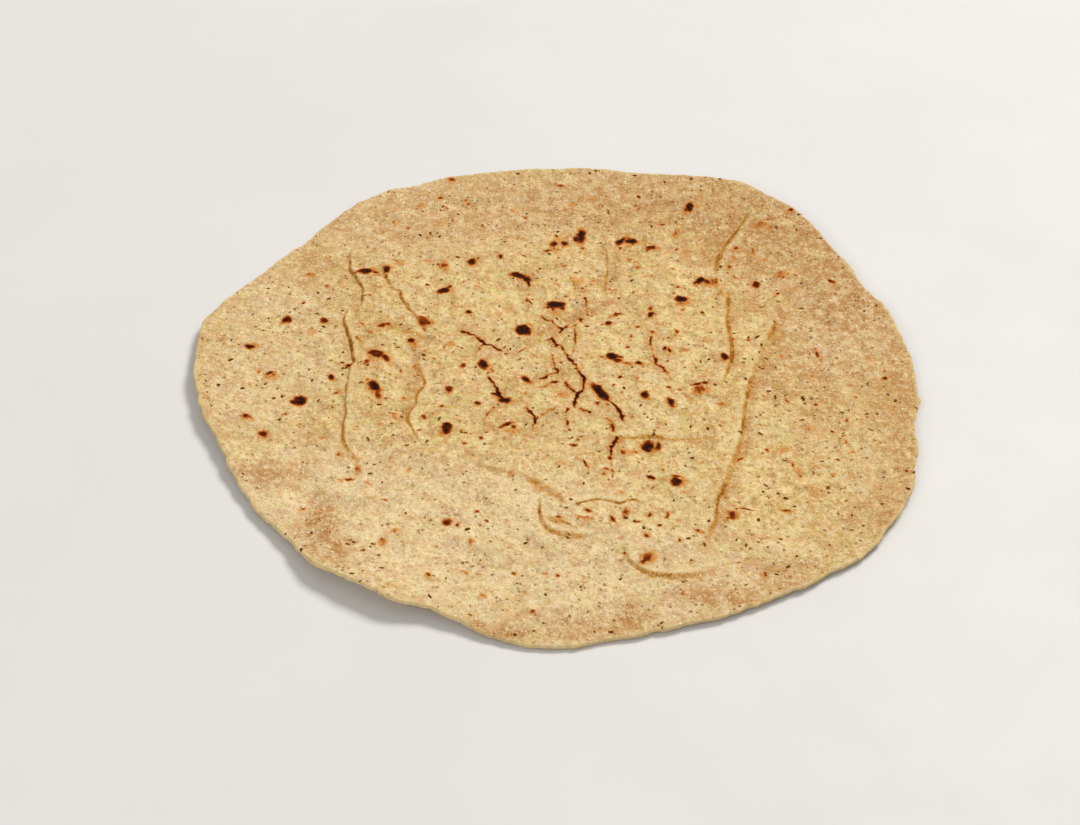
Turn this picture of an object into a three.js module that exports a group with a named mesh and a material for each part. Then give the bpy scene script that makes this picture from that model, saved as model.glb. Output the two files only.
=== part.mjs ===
// A chapati: a thin round of unleavened whole-wheat dough, rolled by hand and
// baked on a dry griddle. It is one closed solid, a little over 200 mm across.
// Steam has lifted the skin of the middle, which has sunk back and left seams,
// wrinkles and small pockets. The edge is uneven and curls up here and there.
//
// Frame: millimetres, +Z up, +Y away from the viewer. The underside lies on
// Z = 0, and the origin is under the middle of the round's bounding box.

import * as THREE from 'three';

// ---- driving dimensions ----------------------------------------------------

const RADIUS = 105;          // the rolled round, before its lobes
const THICKNESS = 1.75;      // cooked dough, away from the edge
const EDGE_THICKNESS = 1.35; // where the rolling pin has run off the edge
const EDGE_BAND = 14;        // width over which the dough thins towards the edge
const NOSE = 0.55;           // how far the edge is rounded, seen from above
const RINGS = 28;            // rings of triangles from the middle to the edge

const PUFF_HEIGHT = 0.75;    // the steamed middle above the flat ring round it
const PUFF_CENTRE = [-2, -4];
const PUFF_HALF_SIZE = [60, 66];
const PUFF_SLOPE = 0.34;     // share of the half size over which it dies away

const FLAT_FOOT = 50;        // the underside is dead flat within this radius
const STEP_WIDTH = 1.0;      // a seam climbs to its full height over this width
const RUN_OUT = 9;           // a seam fades over this length past its ends

// Lobes of the outline: direction in degrees from +X, how far the edge stands
// out of the round, and the spread of the lobe in degrees.
const OUTLINE_LOBES = [
  { at: 24, out: 0.4, spread: 9 },
  { at: 58, out: 8.8, spread: 12 },
  { at: 147, out: -5.8, spread: 12 },
  { at: 176, out: 1.6, spread: 8 },
  { at: 208, out: -4.0, spread: 11 },
  { at: 240, out: 1.4, spread: 7 },
  { at: 256, out: -3.4, spread: 4.5 },
  { at: 266, out: 5.6, spread: 9 },
  { at: 326, out: 3.6, spread: 16 },
  { at: 355, out: -1.6, spread: 7 },
];
// Small unevenness of the edge: waves round the circumference, their depth in
// millimetres and where each one starts, in degrees.
const OUTLINE_WAVES = [
  { waves: 1, depth: 1, start: 0 },
  { waves: 9, depth: 0.45, start: 20 },
  { waves: 17, depth: 0.35, start: 75 },
  { waves: 29, depth: 0.22, start: 140 },
];

// Where the edge curls up off the table: direction, height at the very edge,
// spread in degrees, and how far in from the edge the curl starts.
const CURLS = [
  { at: 20, lift: 1.8, spread: 13, reach: 34 },
  { at: 56, lift: 4.8, spread: 15, reach: 42 },
  { at: 92, lift: 1.6, spread: 14, reach: 30 },
  { at: 130, lift: 1.6, spread: 17, reach: 34 },
  { at: 190, lift: 2.6, spread: 22, reach: 40 },
  { at: 243, lift: 4.2, spread: 10, reach: 36 },
  { at: 300, lift: 0.9, spread: 14, reach: 26 },
  { at: 342, lift: 2.0, spread: 15, reach: 32 },
];

// Seams and wrinkles of the top skin, seen from above. Walking along the path,
// the skin on the left stands `rise` above the skin on the right, and sinks
// back over `run`. A wrinkle has a `ridge` of the given `width` instead, which
// is a groove where it is below zero.
const SEAMS = [
  {
    name: 'left seam', rise: 1.0, run: 16,
    path: [[-65, 50], [-60, 37], [-64, 25], [-60, 8], [-60, -28], [-54, -41]],
  },
  {
    name: 'right seam', rise: 0.95, run: 15,
    path: [[43, -66], [46, -50], [52, -28], [54, -12], [59, 10], [64, 30]],
  },
  {
    name: 'inner right seam', rise: 0.55, run: 9,
    path: [[48, 3], [50.5, 18], [50, 34], [51, 49]],
  },
  {
    name: 'far lobe seam', rise: 0.8, run: 14,
    path: [[57, 83], [50, 69], [47, 54]],
  },
  {
    name: 'near pocket', rise: 0.7, run: 9,
    path: [[-4, -52], [-3, -61], [2, -66], [11, -66]],
  },
  {
    name: 'near right pocket', rise: 0.8, run: 10,
    path: [[20, -72], [25, -78], [34, -81], [46, -76]],
  },
  {
    name: 'near fold', rise: 0.5, run: 12,
    path: [[-22, -39], [-10, -42], [-2, -50], [6, -53]],
  },
  {
    name: 'inner left seam', rise: 0.45, run: 10,
    path: [[-54, 45], [-46, 31], [-40, 19]],
  },
  {
    name: 'left hollow', ridge: -0.35, width: 3.5,
    path: [[-41, 10], [-39, -4], [-42, -22]],
  },
  {
    name: 'cross wrinkle', ridge: 0.45, width: 3,
    path: [[17, -27], [25, -24], [47, -25]],
  },
  {
    name: 'middle fold', ridge: -0.5, width: 4,
    path: [[13, 62], [14, 45], [19, 33]],
  },
  {
    name: 'far ridge', ridge: 0.8, width: 5,
    path: [[26, 72], [36, 86], [46, 103]],
  },
  {
    name: 'edge fold', ridge: 0.7, width: 5,
    path: [[-54, -58], [-60, -72], [-62, -84]],
  },
];

// Blisters of the top skin: middle, radius and height. A dent is below zero.
const BLISTERS = [
  { at: [-51, 4], radius: 11, height: 0.5 },
  { at: [-30, 34], radius: 14, height: 0.45 },
  { at: [-22, -8], radius: 13, height: 0.4 },
  { at: [-8, 12], radius: 9, height: 0.35 },
  { at: [15, 44], radius: 13, height: -0.5 },
  { at: [33, 22], radius: 13, height: 0.4 },
  { at: [30, -12], radius: 12, height: 0.35 },
  { at: [3, -59], radius: 7, height: 0.5 },
  { at: [33, -70], radius: 12, height: 0.5 },
  { at: [67, 54], radius: 7, height: 0.8 },
  { at: [38, 92], radius: 12, height: 0.6 },
  { at: [-80, 5], radius: 13, height: 0.35 },
  { at: [78, -12], radius: 15, height: 0.35 },
  { at: [-45, -72], radius: 12, height: 0.4 },
  { at: [-30, 78], radius: 14, height: 0.3 },
];

// Low unevenness of the rolled dough: height and wave length of two crossed
// sets of waves.
const DOUGH_WAVES = [
  { height: 0.13, length: 31, turn: 20 },
  { height: 0.1, length: 19, turn: 95 },
  { height: 0.07, length: 12, turn: 150 },
];

const BREAD_COLOUR = 0xdcb97e;
const BREAD_ROUGHNESS = 0.85;

// ---- small helpers ---------------------------------------------------------

const clamp01 = (t) => Math.min(1, Math.max(0, t));
const ease = (t) => clamp01(t) ** 2 * (3 - 2 * clamp01(t));
const bell = (distance, spread) => Math.exp(-((distance / spread) ** 2));
const radians = THREE.MathUtils.degToRad;

// Difference of two directions in degrees, from -180 to 180.
function turnBetween(a, b) {
  return THREE.MathUtils.euclideanModulo(a - b + 180, 360) - 180;
}

// ---- outline ---------------------------------------------------------------

// Radius of the round in a direction given in degrees.
function edgeRadius(direction) {
  let radius = RADIUS;
  for (const lobe of OUTLINE_LOBES) {
    radius += lobe.out * bell(turnBetween(direction, lobe.at), lobe.spread * Math.SQRT2);
  }
  for (const wave of OUTLINE_WAVES) {
    radius += wave.depth * Math.sin(radians(wave.waves * direction + wave.start));
  }
  return radius;
}

// ---- underside -------------------------------------------------------------

// Height of the underside above the table.
function undersideHeight(x, y) {
  const direction = THREE.MathUtils.radToDeg(Math.atan2(y, x));
  const fromMiddle = Math.hypot(x, y);
  const fromEdge = edgeRadius(direction) - fromMiddle;
  let height = 0;
  for (const curl of CURLS) {
    const climb = clamp01(1 - fromEdge / curl.reach) ** 2;
    height += curl.lift * climb * bell(turnBetween(direction, curl.at), curl.spread * Math.SQRT2);
  }
  return height * ease((fromMiddle - FLAT_FOOT) / FLAT_FOOT);
}

// ---- top skin --------------------------------------------------------------

// Each seam's path as a smooth curve, cut into short straight pieces.
const SEAM_PIECES_PER_POINT = 6;
for (const seam of SEAMS) {
  const points = seam.path.map(([x, y]) => new THREE.Vector3(x, y, 0));
  const curve = new THREE.CatmullRomCurve3(points, false, 'centripetal');
  seam.points = curve.getPoints((points.length - 1) * SEAM_PIECES_PER_POINT);
}

// Where a point lies beside a seam: `side` is its distance from the path, above
// zero on the left, and `past` is how far it is beyond either end. `across` is
// the direction from right to left there.
function besideSeam(seam, x, y) {
  const { points } = seam;
  const last = points.length - 2;
  let nearest = null;
  for (let i = 0; i <= last; i += 1) {
    const [ax, ay] = [points[i].x, points[i].y];
    const [dx, dy] = [points[i + 1].x - ax, points[i + 1].y - ay];
    const length = Math.hypot(dx, dy);
    const along = ((x - ax) * dx + (y - ay) * dy) / length;
    const before = i === 0 ? Math.max(0, -along) : 0;
    const beyond = i === last ? Math.max(0, along - length) : 0;
    const foot = Math.min(length, Math.max(0, along));
    const gap = Math.hypot(x - ax - (dx * foot) / length, y - ay - (dy * foot) / length);
    if (nearest === null || gap < nearest.gap) {
      const left = ((y - ay) * dx - (x - ax) * dy) / length;
      const past = before + beyond;
      const side = past > 0 ? left : Math.sign(left) * gap;
      nearest = { gap, side, past, across: [-dy / length, dx / length] };
    }
  }
  return nearest;
}

// Height that one seam or wrinkle adds to the skin at a point.
function seamHeight(seam, x, y) {
  const { side, past } = besideSeam(seam, x, y);
  const strength = 1 - ease(past / RUN_OUT);
  if (strength === 0) return 0;
  if (seam.ridge) return strength * seam.ridge * bell(side, seam.width);
  const climb = ease(side / STEP_WIDTH + 0.5);
  return strength * seam.rise * climb * Math.exp(-Math.max(0, side) / seam.run);
}

// Height of the steamed middle at a point.
function puffHeight(x, y) {
  const across = (x - PUFF_CENTRE[0]) / PUFF_HALF_SIZE[0];
  const along = (y - PUFF_CENTRE[1]) / PUFF_HALF_SIZE[1];
  const outward = (across ** 4 + along ** 4) ** 0.25;
  return PUFF_HEIGHT * ease((1 + PUFF_SLOPE / 2 - outward) / PUFF_SLOPE);
}

function blisterHeight(blister, x, y) {
  const away = Math.hypot(x - blister.at[0], y - blister.at[1]) / blister.radius;
  return blister.height * ease(1 - away);
}

function doughWave(wave, x, y) {
  const turn = radians(wave.turn);
  const u = (x * Math.cos(turn) + y * Math.sin(turn)) * ((2 * Math.PI) / wave.length);
  const v = (y * Math.cos(turn) - x * Math.sin(turn)) * ((2 * Math.PI) / wave.length);
  return wave.height * Math.sin(u + Math.sin(v)) * Math.sin(v + 1.3 * Math.cos(u));
}

// Thickness of the bread at a point, relief of the top skin included.
function breadThickness(x, y) {
  const direction = THREE.MathUtils.radToDeg(Math.atan2(y, x));
  const fromEdge = edgeRadius(direction) - Math.hypot(x, y);
  const inside = ease(fromEdge / EDGE_BAND);
  let relief = puffHeight(x, y);
  for (const seam of SEAMS) relief += seamHeight(seam, x, y);
  for (const blister of BLISTERS) relief += blisterHeight(blister, x, y);
  for (const wave of DOUGH_WAVES) relief += doughWave(wave, x, y);
  const dough = EDGE_THICKNESS + (THICKNESS - EDGE_THICKNESS) * inside;
  return dough + relief * (0.25 + 0.75 * inside);
}

// ---- mesh ------------------------------------------------------------------

const RING_SPACING = RADIUS / RINGS;
const GATHER_REACH = 2 * RING_SPACING; // mesh points move this near to a seam
const GATHER_CORE = RING_SPACING / 2;  // and the ones this near go right to it

// Moves a mesh point towards a seam it lies beside. The nearest points go to
// the foot or the brow of the step, so that triangle edges run along both.
function gatherToSeams(x, y) {
  for (const seam of SEAMS) {
    if (seam.ridge) continue;
    const { side, past, across } = besideSeam(seam, x, y);
    if (Math.abs(side) >= GATHER_REACH || past >= RUN_OUT) continue;
    const share = clamp01((Math.abs(side) - GATHER_CORE) / (GATHER_REACH - GATHER_CORE));
    const gathered = STEP_WIDTH / 2 + (GATHER_REACH - STEP_WIDTH / 2) * share;
    const pull = (1 - ease(past / RUN_OUT)) * (gathered - Math.abs(side)) * (Math.sign(side) || 1);
    return [x + across[0] * pull, y + across[1] * pull];
  }
  return [x, y];
}

// Points of the round seen from above: the middle, then ring after ring, ring k
// with 6 k points. The last ring stands in from the edge by the nose.
function discPoints() {
  const points = [[0, 0]];
  for (let ring = 1; ring <= RINGS; ring += 1) {
    for (let step = 0; step < 6 * ring; step += 1) {
      const direction = (360 * step) / (6 * ring);
      const radius = ((edgeRadius(direction) - NOSE) * ring) / RINGS;
      const x = radius * Math.cos(radians(direction));
      const y = radius * Math.sin(radians(direction));
      points.push(ring < RINGS - 1 ? gatherToSeams(x, y) : [x, y]);
    }
  }
  return points;
}

const ringStart = (ring) => (ring === 0 ? 0 : 1 + 3 * ring * (ring - 1));
const ringPoint = (ring, step) => (ring === 0 ? 0 : ringStart(ring) + (step % (6 * ring)));

// Triangles of the round, counter-clockwise seen from above.
function discTriangles() {
  const triangles = [];
  for (let ring = 1; ring <= RINGS; ring += 1) {
    for (let sector = 0; sector < 6; sector += 1) {
      for (let i = 0; i < ring; i += 1) {
        const outer = sector * ring + i;
        const inner = sector * (ring - 1) + i;
        triangles.push([ringPoint(ring, outer), ringPoint(ring, outer + 1), ringPoint(ring - 1, inner)]);
        if (i < ring - 1) {
          triangles.push([
            ringPoint(ring, outer + 1), ringPoint(ring - 1, inner + 1), ringPoint(ring - 1, inner),
          ]);
        }
      }
    }
  }
  return triangles;
}

// The whole solid: the underside, the top skin over the same triangles, and a
// rounded nose between them round the edge.
function chapatiGeometry() {
  const disc = discPoints();
  const positions = [];
  for (const [x, y] of disc) positions.push(x, y, undersideHeight(x, y));
  for (const [x, y] of disc) positions.push(x, y, undersideHeight(x, y) + breadThickness(x, y));
  const edgeSteps = 6 * RINGS;
  for (let step = 0; step < edgeSteps; step += 1) {
    const direction = (360 * step) / edgeSteps;
    const x = edgeRadius(direction) * Math.cos(radians(direction));
    const y = edgeRadius(direction) * Math.sin(radians(direction));
    positions.push(x, y, undersideHeight(x, y) + breadThickness(x, y) / 2);
  }

  const top = disc.length;
  const nose = 2 * disc.length;
  const indices = [];
  for (const [a, b, c] of discTriangles()) {
    indices.push(a, c, b);
    indices.push(top + a, top + b, top + c);
  }
  for (let step = 0; step < edgeSteps; step += 1) {
    const [here, next] = [ringPoint(RINGS, step), ringPoint(RINGS, step + 1)];
    const [noseHere, noseNext] = [nose + step, nose + ((step + 1) % edgeSteps)];
    indices.push(here, next, noseNext, here, noseNext, noseHere);
    indices.push(noseHere, noseNext, top + next, noseHere, top + next, top + here);
  }

  const geometry = new THREE.BufferGeometry();
  geometry.setAttribute('position', new THREE.Float32BufferAttribute(positions, 3));
  geometry.setIndex(indices);
  geometry.computeBoundingBox();
  const middle = geometry.boundingBox.getCenter(new THREE.Vector3());
  geometry.translate(-middle.x, -middle.y, 0);
  geometry.computeVertexNormals();
  return geometry;
}

// ---- model -----------------------------------------------------------------

const bread = new THREE.MeshStandardMaterial({
  name: 'bread',
  color: BREAD_COLOUR,
  roughness: BREAD_ROUGHNESS,
  metalness: 0,
});

const chapati = new THREE.Mesh(chapatiGeometry(), bread);
chapati.name = 'chapati';

const model = new THREE.Group();
model.add(chapati);

export default model;
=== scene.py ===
"""A chapati: a thin round of whole-wheat dough, rolled by hand and baked on a griddle.

The file is laid out as a Blender add-on and run as a script. It makes the baked
round over the fixed frame, presses bran and flour into its skin, and sets a
plain stage, a soft light and a camera.

Shapes are worked out in millimetres, in the frame of the rolled round, and are
moved onto the frame's own origin when their mesh is made.
"""

import math

import bmesh
import bpy
import numpy as np
from bpy.props import FloatProperty, FloatVectorProperty, IntProperty, PointerProperty
from mathutils import Matrix, Vector, noise


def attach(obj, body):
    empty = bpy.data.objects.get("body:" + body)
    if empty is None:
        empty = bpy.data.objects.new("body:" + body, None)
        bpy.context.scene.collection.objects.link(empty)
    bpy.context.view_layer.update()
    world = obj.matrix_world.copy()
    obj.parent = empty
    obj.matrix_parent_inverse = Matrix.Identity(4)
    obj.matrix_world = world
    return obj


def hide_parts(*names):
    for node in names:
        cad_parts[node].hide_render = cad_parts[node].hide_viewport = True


bl_info = {
    "name": "Chapati",
    "version": (1, 0, 0),
    "blender": (4, 5, 0),
    "location": "3D View > Sidebar > Chapati",
    "description": "Bakes a whole-wheat chapati with its griddle marks, bran and flour",
    "category": "Add Mesh",
}

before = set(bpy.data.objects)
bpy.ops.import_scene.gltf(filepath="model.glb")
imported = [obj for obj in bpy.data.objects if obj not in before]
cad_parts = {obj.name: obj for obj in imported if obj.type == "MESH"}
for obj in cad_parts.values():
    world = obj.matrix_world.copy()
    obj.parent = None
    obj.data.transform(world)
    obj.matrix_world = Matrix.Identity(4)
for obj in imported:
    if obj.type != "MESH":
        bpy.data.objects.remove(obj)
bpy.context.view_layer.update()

MM = 0.001
BODY = "root"
NODE = "chapati"


# ---- form of the round, in millimetres --------------------------------------

RADIUS = 105.0
EDGE_BAND = 14.0  # width of the band in which the dough thins to its edge
EDGE_RELIEF = 0.25  # share of the skin's relief that is left at the edge
NOSE = 0.55  # how far the rounded edge stands out past the top skin
PUFF_CENTRE = (-2.0, -4.0)
PUFF_HALF_SIZE = (60.0, 66.0)
PUFF_SLOPE = 0.34  # width of the slope round the steamed middle, as a share of its size
FLAT_FOOT = 50.0  # radius within which the bread lies flat on the table
STEP_WIDTH = 1.0  # width of the step of a seam
RUN_OUT = 9.0  # how far past its ends a seam or a fold fades away

# Lobes of the outline: direction in degrees from +X, how far the edge stands
# out of the round, and the spread of the lobe in degrees.
OUTLINE_LOBES = (
    (24, 0.4, 9),
    (58, 8.8, 12),
    (147, -5.8, 12),
    (176, 1.6, 8),
    (208, -4.0, 11),
    (240, 1.4, 7),
    (256, -3.4, 4.5),
    (266, 5.6, 9),
    (326, 3.6, 16),
    (355, -1.6, 7),
)
# Waves of the outline: waves round the edge, depth, and start in degrees.
OUTLINE_WAVES = ((1, 1.0, 0), (9, 0.45, 20), (17, 0.35, 75), (29, 0.22, 140))

# Curls of the edge: direction, lift at the edge, spread in degrees, and how far
# in from the edge the curl starts.
CURLS = (
    (20, 1.8, 13, 34),
    (56, 4.8, 15, 42),
    (92, 1.6, 14, 30),
    (130, 1.6, 17, 34),
    (190, 2.6, 22, 40),
    (243, 4.2, 10, 36),
    (300, 0.9, 14, 26),
    (342, 2.0, 15, 32),
)

# Seams of the top skin. Walking along the path, the skin on the left stands
# `rise` above the skin on the right, and sinks back over `run`. Each point of a
# path holds its place, the width of the browned line there and how brown it is.
# The browned line is partly the dough's own browning and partly painted shade
# along the foot of the step.
SEAMS = {
    "left": (
        0.85,
        16,
        (
            (-65.6, 51, 0.8, 0.65), (-65.2, 47, 1, 0.8), (-64, 44.5, 0.9, 0.75), (-62.4, 41.5, 0.9, 0.7),
            (-60.8, 38.5, 0.8, 0.75), (-60.2, 36, 0.6, 0.55), (-60, 33.3, 0.8, 0.85), (-59.9, 31, 0.6, 0.7),
            (-60.4, 28.6, 0.6, 0.65), (-62, 27.8, 0.5, 0.5), (-63.4, 27, 0.6, 0.65), (-64.2, 24, 0.8, 0.7),
            (-64.4, 21, 0.9, 0.75), (-63.7, 18, 1.1, 0.85), (-62.8, 15, 1.1, 0.9), (-61.8, 12, 1.2, 0.95),
            (-61.2, 10, 1.2, 0.95), (-60.6, 7, 0.9, 0.85), (-60.2, 4, 0.8, 0.75), (-59.6, 2, 0.9, 0.85),
            (-60.6, 0, 1.3, 0.9), (-60.3, -2, 0.5, 0.5), (-60.4, -5, 0.35, 0.45), (-60.6, -9.5, 0.7, 0.6),
            (-60.5, -10.8, 0.9, 0.85), (-60.4, -13, 0.5, 0.6), (-60.3, -16, 0.4, 0.5), (-59.7, -21, 0.7, 0.6),
            (-59.8, -26, 0.9, 0.8), (-59.7, -29, 0.8, 0.75),
        ),
    ),
    "right": (
        0.55,
        15,
        (
            (41.5, -68, 1.3, 0.25), (42.6, -63, 1.3, 0.4), (44.4, -58, 1.1, 0.65), (44.6, -54, 1.2, 0.95),
            (45.2, -49, 1.2, 1), (47, -44, 1.4, 0.85), (48, -40, 1.8, 0.6), (50, -33, 1.7, 0.6),
            (51.6, -27.5, 1.5, 0.8), (52.6, -22, 1.2, 0.9), (53.4, -14, 1.1, 0.8), (54.4, -6, 1.2, 0.9),
            (55.6, 1, 1.5, 0.85), (57.3, 7, 1.4, 0.45), (60, 17, 1.5, 0.35), (62, 23, 1.4, 0.45),
            (63.6, 27, 1.2, 0.8), (64.8, 32, 0.8, 0.65),
        ),
    ),
    "inner right": (
        0.4,
        9,
        (
            (48.2, 3, 0.8, 0.4), (49.3, 7, 1, 0.8), (50.5, 12, 1.3, 1), (50.9, 18, 1.4, 1),
            (50.6, 24, 1.2, 0.95), (50.2, 29, 1.3, 0.9), (50, 31, 1.3, 0.95), (50.2, 34, 1.2, 0.85),
            (50.4, 37, 1, 0.7), (50.3, 40, 1.4, 0.85), (50.7, 43, 1.3, 0.8), (50.6, 45.5, 0.7, 0.5),
        ),
    ),
    "far lobe": (
        0.6,
        14,
        (
            (57.5, 84, 1, 0.5), (55.4, 79, 1.3, 0.85), (53, 74, 1.5, 0.85), (50.6, 69.5, 1.5, 0.95),
            (49.5, 66.5, 1.6, 0.8), (48.3, 63, 2.2, 0.85), (47.8, 61, 2.4, 0.85), (47.3, 58.5, 2.2, 0.8),
            (47.2, 55, 1.6, 0.45),
        ),
    ),
    "near pocket": (
        0.45,
        9,
        (
            (-3.4, -53, 0.7, 0.45), (-3.6, -57, 1, 0.7), (-3.2, -60, 1.2, 0.8), (-2, -63.5, 1.5, 0.7),
            (0, -65.6, 1.8, 0.62), (4, -66.8, 2.2, 0.55), (8, -66.7, 2.1, 0.5), (11, -66, 1.2, 0.25),
        ),
    ),
    "near right pocket": (
        0.5,
        10,
        (
            (19.6, -71, 0.7, 0.3), (20.3, -75, 1, 0.5), (22.2, -77.2, 1.3, 0.65), (24.6, -79.4, 1.6, 0.7),
            (28, -80.8, 2.1, 0.7), (32.5, -81.5, 2.2, 0.68), (36.5, -80.8, 2.2, 0.6), (40, -79.5, 2.5, 0.52),
            (43, -78, 2.8, 0.42), (45.5, -75.5, 2, 0.3),
        ),
    ),
    "near fold": (
        0.4,
        12,
        (
            (-21, -40.5, 1.6, 0.15), (-12, -42.8, 2.4, 0.42), (-8.5, -43.6, 1.8, 0.3), (-5, -45.8, 2.8, 0.42),
            (-3, -48.4, 3.4, 0.5), (-0.8, -50.2, 3.2, 0.5), (1.6, -52, 2.2, 0.46), (3, -54, 1.2, 0.35),
        ),
    ),
    "inner left": (
        0.45,
        10,
        (
            (-54, 44, 0.9, 0.65), (-53, 41.5, 0.8, 0.5), (-50.5, 37, 0.7, 0.5), (-48.9, 36.6, 0.8, 0.8),
            (-48.7, 35.5, 1, 0.95), (-47.6, 32, 0.8, 0.75), (-46, 29.6, 0.9, 0.85), (-44, 26, 0.7, 0.5),
            (-42.8, 24.2, 1, 0.9), (-41.2, 21, 1.1, 0.9), (-40, 18.8, 0.8, 0.85),
        ),
    ),
}
# Fine seams, laid out in the same way, which the solid leaves out.
FINE_SEAMS = {
    "pocket lip": (
        0.3,
        6,
        (
            (6.4, -54.3, 0.6, 0.95), (9, -53, 0.6, 1), (12, -51.9, 0.6, 1), (15, -52, 0.5, 0.9),
            (18.3, -52.9, 0.8, 1), (20, -51.8, 0.5, 0.8), (22, -51.5, 0.6, 0.8), (24.6, -52.4, 0.5, 0.4),
            (28, -51, 0.8, 0.3), (31, -53, 0.6, 0.15),
        ),
    ),
    "left of the fold": (
        0.25,
        7,
        (
            (-40.6, 6, 0.8, 0.25), (-41, 1, 1, 0.5), (-40, -1, 0.9, 0.6), (-38.3, -6, 0.9, 0.85),
            (-39.5, -9, 1, 0.9), (-40.3, -12.5, 0.9, 0.85), (-40.2, -15, 0.7, 0.6), (-41.8, -20, 0.9, 0.7),
            (-42, -23, 1.4, 0.85), (-41, -25, 1, 0.75), (-39.7, -28, 0.8, 0.55), (-38.6, -30.5, 0.8, 0.4),
        ),
    ),
    "middle": (
        0.25,
        6,
        (
            (12.3, 65, 0.4, 0.5), (13.1, 63, 0.6, 0.55), (13.4, 58.8, 0.6, 0.6), (13.7, 56, 0.4, 0.5),
            (13.6, 53.4, 0.8, 0.7), (13.1, 50, 0.8, 0.6), (13, 45, 0.8, 0.6), (12.8, 43, 0.5, 0.2),
        ),
    ),
    "far corner": (0.2, 5, ((25.2, 71, 0.6, 0.5), (25.2, 66, 0.6, 0.55), (26.2, 61, 0.8, 0.25))),
}
# Browned bands that lie flat, partly the dough's own browning and partly painted shade beside seams and
# folds: place, width and how brown.
BANDS = (
    ((-1.6, -60.4, 1.4, 0.3), (1, -61.4, 2.6, 0.6), (3.2, -62.2, 1.6, 0.6), (5, -62.4, 0.8, 0.8)),
    ((-49, 20, 1.2, 0.35), (-46.5, 18.2, 2.2, 0.5), (-42.5, 16.6, 2.2, 0.5), (-38.5, 14.5, 1.4, 0.3)),
    (
        (15, -25, 1, 0.35), (20, -25.6, 1.3, 0.6), (26, -24.4, 1.6, 0.75), (31, -25.4, 1.2, 0.65),
        (44, -24, 0.8, 0.45),
    ),
    ((-61.6, -34, 0.7, 0.3), (-59, -36.4, 0.9, 0.4), (-56.5, -38, 1, 0.4)),
    ((-59.7, -28, 0.9, 0.8), (-58.8, -34, 1.1, 0.8), (-56.5, -38, 1.3, 0.75), (-54.4, -41.5, 1, 0.45)),
    ((-55, 36, 0.8, 0.15), (-52.6, 32, 1, 0.3), (-52, 27.5, 1, 0.15)),
    ((-54.5, -42, 1.6, 0.3), (-53.4, -45, 1.8, 0.3)),
    ((51, 3, 0.6, 0.2), (49.4, -3, 0.8, 0.3), (48, -8, 0.7, 0.15)),
    ((26, 73, 1, 0.25), (29, 78, 1.8, 0.3), (34, 84, 2, 0.2)),
    ((58, 5, 2.6, 0.14), (61, 15, 3.6, 0.2), (64, 25, 3.8, 0.24), (66.5, 35, 3, 0.14)),
    ((59, 58, 3, 0.12), (56, 47, 3.4, 0.2), (58, 38, 3, 0.14)),
    ((71, -50, 0.6, 0.25), (71.6, -55, 0.8, 0.4), (70.6, -60.5, 0.8, 0.3)),
    ((-13, -95.4, 0.6, 0.3), (-10, -98.2, 0.9, 0.4), (-6, -101, 0.9, 0.3)),
    ((-66, 58, 0.8, 0.15), (-65.8, 53, 0.9, 0.3)),
    ((35.2, 67.2, 0.5, 0.7), (37, 68.6, 0.5, 0.5), (40, 68.9, 0.5, 0.3)),
    ((33.4, 64, 0.5, 0.4), (37, 65.4, 0.5, 0.4), (44, 67, 0.5, 0.2)),
    ((37, 70.8, 0.5, 0.3), (40, 72.4, 0.6, 0.35), (44, 75, 0.6, 0.2)),
    ((-60.2, 29, 0.6, 0.6), (-60.8, 26, 0.4, 0.4)),
    ((-12, 11.3, 0.5, 0.25), (-10, 13, 0.5, 0.4), (-7.5, 15, 0.5, 0.35), (-4.5, 16.5, 0.5, 0.4)),
    ((18.7, 61.5, 0.4, 0.3), (17.6, 57, 0.4, 0.3)),
    ((30, -35, 1.4, 0.3), (30, -39, 1.4, 0.3)),
    ((9, 43, 0.5, 0.1), (16, 50, 0.6, 0.26), (24, 60, 0.5, 0.12)),
    ((13, 40, 0.5, 0.1), (20, 46, 0.6, 0.24), (29, 56, 0.5, 0.1)),
    ((16, 37, 0.4, 0.08), (23, 41, 0.5, 0.2), (33, 50, 0.4, 0.08)),
)
# Wrinkles: height of the ridge, or of a groove where below zero, its width, and
# its path.
WRINKLES = {
    "left hollow": (-0.35, 3.5, ((-41, 10), (-39, -4), (-42, -22))),
    "cross": (0.45, 3.0, ((17, -27), (25, -24), (47, -25))),
    "middle fold": (-0.5, 4.0, ((13, 62), (14, 45), (19, 33))),
    "far ridge": (0.8, 5.0, ((26, 72), (36, 86), (46, 103))),
    "edge fold": (0.7, 5.0, ((-54, -58), (-60, -72), (-62, -84))),
}
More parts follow.
